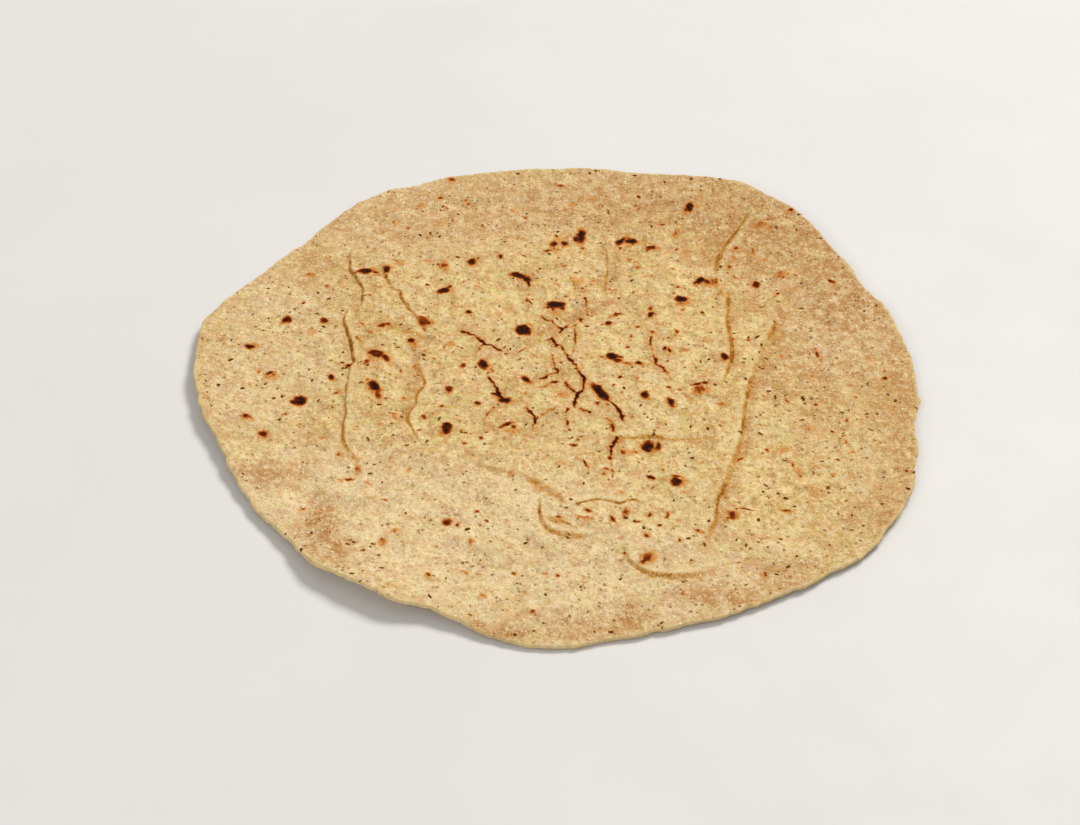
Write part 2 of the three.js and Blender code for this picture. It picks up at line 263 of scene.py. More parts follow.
# Folds of stretched skin, laid out as the wrinkles are, which the solid leaves out.
FOLDS = (
    (-0.62, 4.2, ((55, 86), (40, 70), (28, 59), (18, 44), (3, 25))),
    (0.5, 4.6, ((46, 84), (22, 69), (-6, 62), (-40, 56))),
    (-0.34, 3.4, ((52, 30), (58, 12), (61, -10), (58, -34))),
    (0.3, 3.4, ((-50, -34), (-30, -42), (-12, -54), (4, -72))),
    (-0.34, 3.6, ((-70, -58), (-46, -64), (-22, -66))),
    (0.34, 3.2, ((80, 50), (84, 22), (80, -6), (84, -36))),
    (-0.3, 3.0, ((-78, 36), (-76, 10), (-70, -20))),
    (0.34, 1.6, ((8, 28), (20, 47), (36, 64), (48, 80))),
    (0.3, 1.5, ((4, 26), (14, 50), (24, 62), (35, 82))),
    (-0.34, 1.8, ((25, 70), (30, 79), (36, 92))),
    (0.3, 1.4, ((30, 50), (37, 60), (45, 67))),
    (0.26, 1.5, ((-44, 58), (-22, 64), (-6, 70))),
    (0.26, 1.6, ((-50, 66), (-24, 74), (4, 80), (24, 80))),
    (-0.28, 1.8, ((-64, 62), (-30, 84), (4, 88))),
    (0.3, 1.8, ((66, 40), (72, 16), (70, -8))),
    (-0.3, 2.0, ((78, 44), (84, 16), (80, -18))),
    (0.3, 2.0, ((-90, 30), (-84, 6), (-80, -22))),
    (0.26, 1.5, ((-36, -32), (-20, -36), (2, -34), (22, -38))),
    (-0.28, 1.7, ((56, -40), (70, -46), (86, -44))),
    (0.28, 1.6, ((-30, -70), (-6, -78), (16, -90))),
    (0.3, 1.2, ((10, 45), (17, 52), (26, 63))),
    (0.28, 1.1, ((14, 41), (22, 48), (32, 58))),
    (0.7, 3.6, ((-75, -52), (-73, -62), (-70, -76))),
    (-0.5, 3.4, ((-67, -54), (-66, -66), (-62, -80))),
    (0.45, 3.4, ((-52, -58), (-51, -72), (-51, -86))),
)
# Blisters: middle, radius and height. A dent is below zero.
BLISTERS = (
    (-51, 4, 11, 0.5),
    (-30, 34, 14, 0.45),
    (-22, -8, 13, 0.4),
    (-8, 12, 9, 0.35),
    (15, 44, 13, -0.5),
    (33, 22, 13, 0.4),
    (30, -12, 12, 0.35),
    (3, -59, 7, 0.5),
    (33, -70, 12, 0.5),
    (67, 54, 7, 0.8),
    (38, 92, 12, 0.6),
    (-80, 5, 13, 0.35),
    (78, -12, 15, 0.35),
    (-45, -72, 12, 0.4),
    (-30, 78, 14, 0.3),
)
# Low waves of the rolled dough: height, wave length and turn in degrees.
DOUGH_WAVES = ((0.2, 31, 20), (0.19, 19, 95), (0.15, 12, 150), (0.07, 7, 60))


# ---- marks of the griddle, in millimetres -----------------------------------

# Spots: middle, length, width, turn in degrees from +X, and how burnt they are,
# from 0.2 for faint gold through 0.6 for red-brown to 1 for black. A large spot
# is made of a few that touch.
SPOTS = (
    # middle of the round
    (-13.5, 48.5, 5.2, 2.9, -8, 1), (-11, 47.1, 3, 2.2, -58, 1), (-1.8, 34.9, 5.3, 3.5, 5, 1),
    (0.4, 33.4, 1.6, 1.4, 90, 0.85), (-2.4, 32.6, 1.4, 1, 90, 0.8), (-1.5, 31.5, 5, 2, 0, 0.25),
    (-11.2, 21.3, 5.4, 4.4, 100, 1), (-9.2, 20.5, 3.5, 1.4, 90, 0.8), (-28, 54, 3.6, 2.4, 70, 0.95),
    (-19.5, 57.3, 2.2, 1.4, 90, 0.8), (-36.4, 51.3, 4.4, 2.4, 100, 0.5), (-35.9, 38.3, 4, 3.2, 20, 0.92),
    (-34.3, 40.4, 2.6, 2, 70, 0.66), (-40.9, 41.2, 1.5, 1.2, 0, 0.9),
    (-22, 4, 4.6, 2.8, 105, 1), (-27.8, 3, 2.2, 1.6, 90, 0.7), (-19.2, 1.5, 1.8, 0.8, 90, 0.65),
    (-9.4, -1.6, 3.2, 2.4, -60, 0.95), (-8.4, -2.6, 2.4, 1.6, -60, 0.62), (-31.3, -9.2, 2.6, 1.6, 80, 0.4),
    (-30.6, -25.4, 4, 2.8, 80, 1), (-31.4, -23.8, 1.6, 1, 40, 0.85), (-13.7, -22.4, 4.4, 1.5, 35, 0.92),
    (-11.8, -23.4, 2, 1.4, 60, 0.68), (-13.5, -25.2, 2.6, 1.6, 0, 0.36), (-14.8, -11.6, 3.8, 2.6, 0, 1),
    (-17.6, -9.2, 2.4, 2, 0, 1), (14.2, 27, 2.4, 2, 90, 0.85), (26.9, 32.6, 3, 1.6, 70, 1),
    (26.8, 35.6, 2, 0.9, 90, 0.8), (28, 32.4, 3, 2.2, 70, 0.36), (15.6, 11.3, 3.6, 2.8, 0, 1),
    (17, 9.4, 3.4, 2.4, -20, 0.8), (20, 8.6, 2.6, 0.9, 0, 0.68), (23.3, 9.1, 1.8, 1.6, 0, 0.95),
    (23.6, 8.8, 3.4, 2.6, 0, 0.34), (32.3, 15, 1.8, 1.2, 90, 0.95), (32, 15.2, 4, 3.2, 0, 0.22),
    (12.3, -5.6, 8.4, 3, -58, 1), (11.4, -3.4, 3, 2.4, -60, 1), (11.5, -10.3, 2, 1.4, 0, 0.62),
    (2, -6.6, 2.8, 2.4, 90, 0.36), (14, -12.1, 2.4, 1, -30, 0.3), (25, -5.8, 3, 2.4, 90, 0.98),
    (32.6, -8.9, 4.4, 2.2, 105, 0.95), (33.4, -10, 2.6, 1.6, 105, 0.6), (26, -28.5, 4.6, 3.6, 90, 1),
    (28.8, -28.3, 3.6, 1.6, 90, 0.8), (24.3, -28.3, 3.4, 1.4, 90, 0.4), (5.2, -29.4, 2.4, 1.4, -20, 0.8),
    (19, -31.8, 3.4, 2.8, 0, 0.22), (14.8, 30.4, 2, 1, 40, 0.6),
    # far side
    (5.2, 70.8, 7.5, 2.4, 88, 1), (3.6, 69, 3, 2, 90, 0.85), (0.5, 69.7, 2.2, 1.6, 90, 0.4),
    (0.1, 66.3, 2.6, 2.2, 90, 0.95), (-0.6, 64.2, 1.4, 1, 90, 0.5), (-3.2, 65.6, 3.6, 1.8, 80, 0.92),
    (-2.6, 69.8, 2, 0.9, 90, 0.75), (-4.8, 61.8, 2.8, 0.9, 15, 0.9), (-2, 65.5, 7, 2.4, 90, 0.22),
    (17.6, 68.8, 4.6, 1.9, 60, 1), (17.6, 65.2, 1, 0.8, 90, 0.85), (20.5, 70.7, 3, 0.9, 0, 0.7),
    (21, 68.9, 4, 2.5, 0, 1), (21.4, 67.2, 3.6, 1.6, 0, 0.36), (27.1, 65.9, 2.6, 1.8, 30, 0.95),
    (26.3, 64.8, 1.6, 0.7, 60, 0.7), (28.3, 66, 2.6, 1.8, 30, 0.36), (39.3, 86.5, 3.8, 2.6, 80, 0.95),
    (38.2, 85, 2, 1.6, 80, 0.7), (34.6, 73.8, 3.4, 1.4, 70, 0.5), (61.8, 79, 4.6, 2.2, 0, 0.4),
    (71.2, 86.2, 1.8, 1.6, 0, 0.8), (-2, 97, 2.4, 1.4, 0, 0.7), (-37, 97, 2.2, 1.6, 0, 0.7),
    (8, 91, 2.2, 1.4, 0, 0.42), (3.5, 47.5, 3.5, 3, 90, 0.28), (0.2, 54.5, 2, 0.7, 20, 0.6),
    # left side
    (-60.3, 45.4, 4.2, 2.6, 15, 1), (-62.6, 44.6, 1.6, 1, 15, 0.55), (-57.5, 45.6, 3.2, 1.9, 0, 0.6),
    (-53.8, 47, 3.4, 2.2, 90, 1), (-53.8, 43.6, 2.4, 1, 100, 0.5), (-40.8, 22.4, 4, 3.2, -60, 0.66),
    (-39.2, 22, 2, 1, 90, 0.8), (-41.6, 24.2, 2, 0.8, 0, 0.75), (-43.7, 13.3, 2.6, 1.7, 85, 0.97),
    (-42.6, 12.8, 3, 2.2, 60, 0.4), (-53, 20, 3.2, 1.9, 40, 0.74), (-51.2, 20.9, 2.4, 1.4, -10, 0.66),
    (-50.2, 20, 2.4, 1.8, 0, 0.34), (-53.4, 5.7, 5.3, 3.5, -22, 0.78), (-50.4, 3.9, 3.8, 2.2, -55, 0.74),
    (-55.8, 1.9, 2.8, 1.8, 70, 0.62), (-54.4, 4, 4, 2.8, -60, 0.34), (-52.6, -9, 4.6, 2.8, 120, 1),
    (-51.3, -12.4, 5.2, 2, 97, 0.62), (-54.7, -6.7, 1.4, 0.9, 60, 0.7), (-81.4, 20, 3.2, 2.4, 60, 0.88),
    (-80.6, 18.8, 2, 1.6, 60, 0.55), (-70.2, 20.8, 2.6, 2.4, 45, 0.92), (-71, 22, 1.8, 1, 45, 0.6),
    (-90.4, 5.7, 2.8, 2.4, 0, 0.9), (-73.3, -16.3, 4.4, 3.4, 80, 1), (-75, -17.4, 2, 1.6, 80, 0.85),
    (-65.4, -5.6, 2.4, 1.8, 90, 0.95), (-82, -7, 3.2, 2.2, 20, 0.42), (-83.2, -6.2, 2.4, 1.5, 20, 0.85),
    (-86.6, -27, 3.2, 2.2, 0, 0.45), (-87.4, -26.4, 2.1, 1.6, 0, 0.85), (-81.5, -33, 2.8, 2, 30, 0.8),
    (-76.7, 42.6, 2.6, 2.2, 0, 0.32), (-43.7, -13.1, 2.3, 1.4, 0, 0.48), (-46, -21, 2, 1.6, 60, 0.4),
    (-59.6, -38.6, 2.2, 1.6, 0, 0.42), (-63, -12, 2, 1, 70, 0.6), (-60.8, 0.1, 2, 1.3, 0, 0.9),
    # right side
    (36.3, 41.2, 3.8, 3.4, 20, 1), (36, 38.8, 3, 2, 0, 0.34), (42.3, 51.1, 3.6, 2.8, 60, 1),
    (40.9, 50, 2.6, 1, 60, 1), (44.4, 50.5, 2.8, 2.2, 90, 0.78), (46.6, 50.6, 3.8, 3, 90, 0.5),
    (48.5, 44.3, 3.4, 1.4, -70, 0.38), (59.4, 50.4, 3, 2.2, 90, 0.85), (66.6, 54.4, 3.8, 2.8, 30, 0.42),
    (67.6, 53, 2, 1, 60, 0.62),
    (48.6, 13.2, 3.2, 2.2, 100, 0.98), (40.7, -2.2, 4.8, 3.4, 60, 0.5), (40.2, 0.4, 2.4, 1.4, 20, 0.85),
    (42.5, 0.8, 1.7, 1.5, 0, 0.8), (47, -8, 2.2, 1.8, 0, 0.6), (76.5, 17.4, 2.4, 1.4, -60, 0.72),
    (82.6, 52, 2.6, 1.5, -40, 0.92), (27.6, 23.6, 1.8, 1.2, 0, 0.65), (34.4, 24, 2, 1, 90, 0.85),
    (36.8, 16, 2.2, 1.2, 0, 0.55),
    # near side
    (33.8, -40.5, 2, 1.4, 0, 0.85), (33.8, -43, 3.4, 3, 90, 1), (35.4, -42.5, 3.6, 1.1, 90, 0.6),
    (26.8, -41.8, 2.2, 1.4, -35, 1), (48.7, -55.6, 3.8, 2.2, 100, 0.8), (47.6, -57.2, 2, 1.6, 90, 0.4),
    (53, -52.7, 3.6, 0.9, -12, 0.8), (63.8, -52.4, 3.2, 1.4, -10, 0.62), (39.7, -63, 2.4, 1.4, 0, 0.6),
    (25.6, -74.7, 4.8, 2.5, 60, 0.66), (24.8, -76, 2.4, 1.8, 60, 0.88), (20, -56.3, 2.6, 1.8, 90, 0.65),
    (9.8, -56.9, 2.2, 1.1, -30, 0.85), (8.6, -59.6, 6, 1.4, -8, 0.4), (-28, -63.6, 2.6, 2.2, 60, 0.88),
    (-42, -69.5, 3.2, 1.6, 75, 0.42), (-44.6, -74.6, 3.6, 2.2, 70, 0.4), (-45, -73.4, 1.4, 1.2, 70, 0.6),
    (-54, -44.4, 3.2, 1.8, 100, 0.42), (-56, -49, 2.2, 1.4, 0, 0.75), (-50.5, -50, 2.2, 1.2, -30, 0.42),
    (-45.4, -56.6, 2, 1.4, 0, 0.5), (52, -31.6, 2.6, 0.9, 42, 0.7), (66.4, -33.2, 2.4, 0.9, 95, 0.55),
    # longer than wide, small
    (-67.3, -62.6, 2, 1.2, 40, 0.6), (57, -78, 2.4, 1, 80, 0.6), (59.6, -26.9, 2, 0.9, 100, 0.8),
    (68.7, -37, 2, 0.8, 60, 0.6), (31.2, -56.6, 2.2, 0.9, 70, 0.75), (34.2, -67.3, 1.5, 0.7, 80, 0.6),
    (16.4, -59, 2.2, 0.9, -50, 0.95), (23, -59.9, 1.8, 0.8, 0, 0.8), (-4, -96.8, 1.8, 1, 20, 0.6),
    (-38.3, -27, 1.9, 0.9, 40, 0.6), (-64.8, -32.3, 2, 0.8, 5, 0.6), (-45.3, -38.8, 1.4, 0.6, 70, 0.6),
    (66.1, -5.1, 2.2, 0.7, -55, 0.9), (83, -13, 2.2, 0.9, 75, 0.6), (72, -17.8, 3.2, 2.4, 0, 0.2),
    (83.4, -27.5, 1.9, 0.7, 55, 0.55), (23.2, 87.2, 2.2, 1, 80, 0.6), (1.5, 87.5, 2, 1.5, 60, 0.42),
    (28, 87.6, 2, 1.1, 70, 0.36), (59, 66.6, 3, 1, 105, 0.5), (53, 53, 1.4, 0.7, -45, 0.75),
    (23, 26.2, 2, 1.3, 20, 0.6), (51.2, 22, 2.1, 0.6, 60, 0.8), (47.8, 25.3, 1.6, 0.7, 90, 0.5),
    (-58.6, 19.3, 1.9, 0.6, -45, 0.65), (-51.3, 52.3, 2, 0.6, -52, 0.7), (-13, 79, 2.2, 0.9, -40, 0.7),
    (-37.6, 81.8, 2.4, 0.8, -45, 0.5), (-53.4, 72.6, 3, 2, 80, 0.2), (-46, 82.6, 2.6, 2, 40, 0.2),
    (-39.5, 72.4, 3.4, 1.8, 80, 0.19), (-57, 89.2, 2.4, 1, 95, 0.6), (-12, -43.4, 2, 1.4, 80, 0.3),
    (-26.8, 27, 2.6, 1.2, 110, 0.34), (-56.1, 28.4, 1.4, 0.6, 90, 0.5), (43.5, 65.5, 2, 0.7, 90, 0.45),
    (-47, 25, 3, 1, 60, 0.24), (35.5, 47, 1.2, 0.8, 45, 1), (36.7, 35.7, 1.5, 0.8, 50, 0.85),
)
# Small round spots: middle, how far across, and how burnt.
DOTS = (
    # middle of the round
    (-4, 33.2, 1.6, 0.7), (-37.7, 50.3, 0.8, 0.6), (-31.3, -8, 2.3, 0.94), (-15.6, -24, 1, 0.8),
    (-11.2, -24.4, 0.9, 0.55), (12.3, 26.5, 1, 0.7), (18, 32.8, 1, 0.75), (18, 11.4, 1.3, 0.95),
    (19.4, 8, 1, 0.6), (31, 16.2, 1.4, 1), (20.9, 7.8, 1.1, 0.65), (22.8, 1.9, 1.1, 0.6),
    (17.9, 1.8, 1.4, 0.6), (0.4, -15.4, 0.6, 0.5), (8, 25.2, 0.8, 1), (13.4, 20, 1, 0.5),
    (-6.5, 19.6, 1.1, 0.5), (1.1, 39.3, 1.1, 0.7), (-22.7, -14, 1.6, 0.9), (-20.9, -28.8, 1.4, 0.7),
    (-19.6, -26, 0.9, 0.6), (-26.5, -26, 1.1, 0.6), (-24, -26.8, 0.8, 0.5), (-27.6, 28.8, 1.8, 0.85),
    (-33, -15.9, 1, 0.85), (-35.2, -19.5, 0.8, 0.6), (-37.5, -21, 1.5, 0.65), (-36.7, -14.4, 1.2, 0.42),
    (-35, -15, 0.9, 0.5), (21.2, 21.6, 1.2, 0.75), (20, 16, 1.2, 0.7), (20.7, 19.5, 0.8, 0.6),
    (31.7, 10.4, 1, 0.6), (38, 9.5, 0.8, 0.5), (32, -1.5, 1.3, 0.6), (35.2, -2.4, 0.9, 0.7),
    (16, -2.1, 0.8, 0.85), (28.6, -24.6, 0.9, 0.75), (30.1, -42, 1.2, 0.6), (30.1, -38.4, 0.9, 0.65),
    (19, -31.8, 1.6, 0.85), (22.8, -31, 1.2, 0.55), (14.6, -39.4, 1.4, 0.7), (13.7, -41, 1, 0.7),
    (16.2, -39.6, 1, 0.55), (11.8, -28, 0.9, 0.5), (28.8, -20.8, 1.1, 0.5), (41, -34.4, 1.2, 0.6),
    # far side
    (-8, 51.4, 1, 0.6), (-9.3, 49.7, 0.8, 0.5), (-10.3, 48.2, 1.2, 0.65), (-3.3, 47.5, 1, 0.55),
    (-1.2, 45, 0.8, 0.6), (6.1, 44.4, 1, 0.75), (8.7, 46.1, 1.1, 0.6), (9.4, 48.2, 1, 0.55),
    (3.8, 44, 0.7, 0.5), (2.8, 47.2, 1, 0.55), (21.2, 64.4, 0.8, 0.55), (14.4, 45.8, 0.9, 0.65),
    (16.2, 45.6, 1.2, 0.65), (15.2, 44.8, 0.8, 0.6), (35.3, 67.3, 1, 0.7), (51.4, 58, 1.2, 0.8),
    (50.5, 54.3, 0.8, 0.6), (34, 56, 1.3, 0.5), (22.8, 56.3, 1.2, 0.5), (34.1, 43.7, 1, 0.6),
    (45.2, 50, 0.8, 0.75), (46, 48.9, 0.9, 0.65), (47, 51.4, 1, 0.5), (42.4, 34.4, 1, 0.85),
    (31.1, 36.1, 0.9, 0.6), (21.6, 43.2, 0.9, 0.8), (23.6, 32, 1, 0.5), (23, 93, 1.4, 0.8),
    (30.6, 78, 1.2, 0.75), (53.8, 67.4, 1.6, 0.75), (53.6, 59.3, 1, 0.75), (-35.6, 75.5, 1, 0.75),
    (-40.2, 87, 1.4, 0.75), (-31, 85.2, 1.1, 0.7), (-49.2, 70.2, 1.1, 0.7), (-26, 73.4, 1, 0.6),
    (-18.5, 67.8, 1.1, 0.5),
    # left side
    (-58.8, 42.7, 0.9, 0.55), (-42.8, 13, 0.8, 0.6), (-44.6, 15.3, 0.8, 0.6), (-55.9, 16.4, 1.1, 0.62),
    (-56, 7.2, 1, 0.4), (-45.5, -1, 1.2, 0.75), (-59.6, 12.6, 1, 0.6), (-52.8, 14.6, 0.9, 0.6),
    (-41.3, -2.8, 0.6, 0.5), (-40.2, -0.3, 0.6, 0.55), (-38.4, -5.7, 0.8, 0.75), (-39.9, -9.5, 0.8, 0.7),
    (-40.2, -12, 0.7, 0.55), (-36.4, 5.4, 0.9, 0.7), (-33.9, 11.1, 0.9, 0.7), (-39.3, 9, 0.9, 0.55),
    (-64.1, 0.9, 0.9, 0.55), (-44.5, 44, 0.9, 0.65), (-45.8, 42.5, 0.8, 0.55), (-50.7, 46.3, 1, 0.5),
    (-55.2, 48.6, 0.8, 0.5), (-54.9, 37.9, 0.9, 0.45), (-58.2, 33.7, 1.2, 0.55), (-57.9, 29.6, 0.7, 0.45),
    (-51.4, 24.6, 0.7, 0.5), (-46.1, 30.7, 0.6, 0.7), (-37.2, 31.3, 0.8, 0.45), (-71.4, 38, 1.2, 0.65),
    (-77.3, 28.8, 1.2, 0.95), (-71.8, 52.3, 1, 0.6), (-55.7, -7.9, 0.7, 0.5),
    # right side
    (72, -17.8, 1.2, 0.6), (74.3, -6.7, 1.1, 0.8), (78.8, -18.4, 1.2, 0.5), (81.4, -20.2, 1.2, 0.5),
    (82.1, -23, 0.9, 0.85), (79.6, -26.2, 1.1, 0.5), (79, -30.6, 1.1, 0.7), (98, -34.6, 1.1, 0.7),
    (77.8, -36.6, 1.4, 0.45), (86, -2.3, 1.1, 0.5), (98.8, -4, 1, 0.55), (95.4, 6.8, 1.5, 0.85),
    (95.6, 10.2, 0.9, 0.7), (77.3, 14.8, 1.1, 0.6), (75.8, 19.4, 1, 0.7), (77.2, 9.8, 0.9, 0.75),
    # near side
    (-25.3, -64.2, 1.2, 0.85), (-31.6, -86.6, 1.6, 0.6), (-20.4, -59, 1.2, 0.8), (26.4, -57.3, 1.2, 0.8),
    (29, -61, 1.1, 0.6), (25.5, -65.6, 1.4, 0.7), (18.3, -67.2, 1.1, 0.55), (19.7, -73.3, 1.2, 0.6),
    (2, -82.6, 1.2, 0.75), (-9.2, -83.2, 1.3, 0.5), (-1.2, -82, 1.1, 0.55), (35, -87.2, 1.1, 0.6),
    (-21.2, -71.8, 1.4, 0.5), (-17.5, -62.3, 1.1, 0.6), (-19, -63.8, 0.9, 0.8), (-39.8, -43.4, 1.4, 0.36),
    (-48.6, -34.2, 1, 0.5), (-37.5, 8, 0.8, 0.4),
)

# Scorched wrinkles, as paths: place, width, and how burnt.
CRACKS = (
    ((-7, 29.5, 0.5, 0.4), (-5.5, 28.2, 0.7, 0.75), (-4.5, 27.3, 1, 0.9), (-3, 26.5, 0.9, 0.9),
     (-1.5, 25.2, 0.5, 0.7), (0.6, 24, 1.2, 0.9), (1.3, 24.6, 0.9, 0.8), (2, 26.3, 0.6, 0.5),
     (2.5, 28.5, 0.5, 0.35)),
    ((-0.1, 21.3, 0.6, 0.8), (0.3, 22.6, 0.9, 0.9), (0.8, 23.8, 1.2, 0.9), (2.5, 24.8, 0.6, 0.5),
     (4.2, 25.6, 1.1, 0.6), (5, 27, 0.5, 0.35), (6.2, 28.6, 1.2, 0.8), (7, 29, 0.6, 0.6)),
    ((-3.6, 17.6, 0.6, 0.7), (-2.4, 18.1, 1.2, 0.9), (-1.6, 16.8, 1, 0.8), (-1, 15.5, 1.6, 0.7),
     (0, 15.2, 1, 0.8), (0.7, 14.6, 0.9, 0.9), (1.6, 12.2, 0.7, 0.7), (2.4, 10.3, 0.8, 0.8),
     (3.2, 8.8, 1.2, 0.9), (4.6, 6.6, 1.3, 0.85), (5.2, 5.2, 0.8, 0.7), (5.8, 3.4, 0.9, 0.85),
     (6.6, 1.8, 1.1, 0.9), (7.5, 0.6, 1.2, 0.95), (7.4, -1.6, 0.9, 0.85), (7.5, -3.6, 0.8, 0.85),
     (6.9, -5, 0.8, 0.8), (6, -6.3, 1.4, 0.9), (5.8, -7.6, 1.5, 0.95), (5.2, -9, 0.7, 0.85),
     (5, -10.4, 1.4, 0.95), (5, -12, 1.2, 0.9), (4.9, -13.2, 0.5, 0.6)),
    ((2, -0.6, 0.5, 0.5), (2.4, -2.2, 0.9, 0.65), (3.3, -4, 0.8, 0.7), (4.6, -5.6, 0.7, 0.75),
     (5.6, -6.6, 0.8, 0.8)),
    ((-2.4, 11, 0.5, 0.4), (-1.9, 9.8, 1, 0.5), (-1.6, 7, 0.9, 0.55), (-1.1, 5, 0.8, 0.6),
     (-0.5, 3.3, 1.4, 0.75), (-0.4, 2.2, 1, 0.75), (-2, 1.2, 0.6, 0.6), (-3.8, -0.2, 1, 0.75),
     (-5.2, -1.2, 0.7, 0.7)),
    ((0.2, -1.8, 0.5, 0.6), (-0.8, -1.8, 1.1, 0.85), (-2, -2.8, 0.7, 0.6), (-4.8, -4.9, 0.6, 0.55),
     (-7.5, -5.2, 0.5, 0.35), (-8.8, -7, 0.5, 0.3), (-9.2, -8.2, 0.9, 0.5)),
    ((14.2, -8.6, 1.2, 0.95), (15.8, -10.5, 0.9, 0.9), (17, -12.6, 1, 0.9), (18, -14.6, 1.1, 0.95),
     (18.5, -16.5, 1, 0.95), (18.6, -17.8, 0.8, 0.8)),
    ((14.2, -17, 1, 0.6), (15.2, -18.2, 0.6, 0.5), (15.8, -20, 0.8, 0.6), (16, -21.2, 1.3, 0.8),
     (16.2, -22.6, 1, 0.65), (16.3, -23.5, 0.5, 0.4)),
    ((17.2, -26, 1.2, 0.9), (16.6, -27.2, 1.5, 0.95), (16.1, -28.6, 1.2, 0.95), (15.8, -30.2, 1.2, 0.95),
     (15.7, -31.8, 1.1, 0.95), (15.9, -32.8, 0.8, 0.8), (15.6, -34, 0.7, 0.35), (15.7, -36, 0.8, 0.38),
     (15.9, -38, 0.8, 0.45)),
    ((8, -36, 0.7, 0.6), (8.3, -37.5, 0.9, 0.8), (9.2, -39, 0.9, 0.65), (9.6, -40, 0.6, 0.35)),
    ((-19.8, -2, 0.7, 0.85), (-19.4, -3.4, 1, 0.8), (-18.6, -5, 0.9, 0.8), (-17.8, -6.8, 0.8, 0.85),
     (-17, -8.2, 1.2, 1), (-16.4, -9.4, 1.2, 1), (-15.6, -10.4, 1, 1), (-14.6, -11.4, 1, 1)),
    ((-17.9, -15.4, 1, 0.7), (-18.5, -16.6, 0.5, 0.3), (-18.9, -17.4, 0.8, 0.55), (-19.8, -18.5, 0.8, 0.6),
     (-20.2, -20, 0.4, 0.25), (-20.5, -21.2, 0.8, 0.6)),
    ((-29.4, 20.2, 0.4, 0.4), (-28.6, 19.3, 1.1, 0.85), (-27, 18.6, 0.9, 0.75), (-25.2, 17.6, 0.7, 0.7),
     (-23.4, 15.8, 1.2, 0.9), (-22.4, 14.6, 1.2, 0.9), (-21.6, 13.6, 1.3, 0.9), (-20.4, 13.5, 0.8, 0.8),
     (-19.4, 12.8, 0.8, 0.75), (-17.8, 11.2, 0.9, 0.85), (-16.8, 11, 0.7, 0.6)),
    ((-22, 13.6, 0.9, 0.8), (-23, 12.2, 0.7, 0.6), (-23.6, 11, 0.8, 0.5), (-24.6, 9.5, 1, 0.3)),
    ((-11.8, 11, 0.9, 0.55), (-10.8, 12, 1, 0.5), (-9.8, 13, 0.6, 0.45)),
    ((27, 21, 0.8, 0.6), (26.8, 18, 0.9, 0.8), (27, 16.8, 0.7, 0.6), (27.2, 14.8, 0.7, 0.4),
     (27.6, 12.8, 1, 0.45), (27.8, 11.5, 1.2, 0.75), (28.2, 10.7, 0.9, 0.95), (28.6, 8.6, 0.9, 0.55),
     (29.8, 7.6, 0.8, 0.8), (30.6, 6.4, 0.8, 0.8), (31.4, 5, 0.7, 0.65), (33, 2, 0.5, 0.25)),
    ((-8.6, -13.4, 0.6, 0.5), (-8.4, -14.8, 1, 0.65), (-7.6, -16, 1.3, 0.85), (-6.6, -17.6, 0.8, 0.8),
     (-6.2, -18.8, 1, 0.85), (-5.8, -20.3, 1.3, 0.9), (-6.4, -21.6, 1, 0.7), (-6.4, -23.6, 0.6, 0.55)),
    ((-4, -17, 0.8, 0.5), (-2.6, -15.4, 0.9, 0.5), (-0.8, -14.2, 0.8, 0.45)),
    ((3, -13.6, 0.8, 0.6), (2.8, -14.8, 1.1, 0.75), (2.9, -17, 0.4, 0.3), (3.1, -20.4, 1, 0.75),
     (3, -22, 0.4, 0.4)),
    ((6.8, -13.8, 0.6, 0.8), (8.2, -14.2, 0.9, 1), (9.6, -14.8, 0.8, 0.95)),
    ((-10.2, 39.5, 0.9, 0.6), (-10.4, 37.6, 0.4, 0.3), (-10.5, 36, 1.1, 0.75), (-9.9, 34.8, 0.6, 0.5),
     (-9.6, 33, 0.4, 0.3)),
    ((7, 43, 0.6, 0.5), (7.1, 40.8, 0.3, 0.25), (7.1, 38.4, 1.2, 0.8), (7.4, 35.5, 0.7, 0.6),
     (8, 33, 0.8, 0.5), (8.3, 31.2, 0.8, 0.6), (11.5, 31.4, 0.4, 0.4)),
    ((4.3, 25, 0.5, 0.4), (4.3, 23.4, 0.7, 0.5), (4.3, 21.2, 0.8, 0.55), (4.6, 19.6, 1, 0.8),
     (4.5, 17.4, 0.8, 0.65), (4.6, 15.5, 0.5, 0.4), (4.1, 12.6, 0.7, 0.6)),
    ((14.8, 30.2, 0.8, 0.45), (16.2, 31.4, 1.2, 0.65), (18, 32.8, 0.9, 0.75)),
    ((23.1, 6, 0.6, 0.3), (23.1, 4, 0.6, 0.3)),
    ((-11.8, 48, 1.3, 1), (-10.6, 46, 1.2, 0.95), (-10, 43, 0.8, 0.8)),
    ((16.5, 45.5, 0.5, 0.35), (16, 41, 0.5, 0.4), (14.5, 37, 0.5, 0.3)),
    ((18, 45, 0.5, 0.3), (17.6, 41, 0.5, 0.35), (16.5, 37, 0.5, 0.25)),
    ((6, -35, 0.7, 0.4), (7.4, -36.6, 0.8, 0.5)),
    ((37, -5, 0.6, 0.45), (40, -10, 0.5, 0.3)),
    ((-10, 12.5, 0.5, 0.35), (-7, 9.5, 0.5, 0.4), (-3.5, 8, 0.5, 0.3)),
    ((-5, 0, 0.5, 0.4), (-9, -6, 0.4, 0.3), (-10.2, -11, 0.5, 0.4)),
)

# Scattered small spots: the range of their length, and of how burnt they are.
# One in three is faint.
FAINT_SPOT = ((1.4, 3.2), (0.14, 0.28))
SMALL_SPOT = ((0.6, 1.6), (0.3, 0.85))
TOP_SPOT_REACH = 94.0  # from the middle
UNDER_SPOT_REACH = 98.0
UNDER_SPOT_COUNT = 90
UNDER_SPOT_GROWTH = 3.0  # how much larger they are on the underside

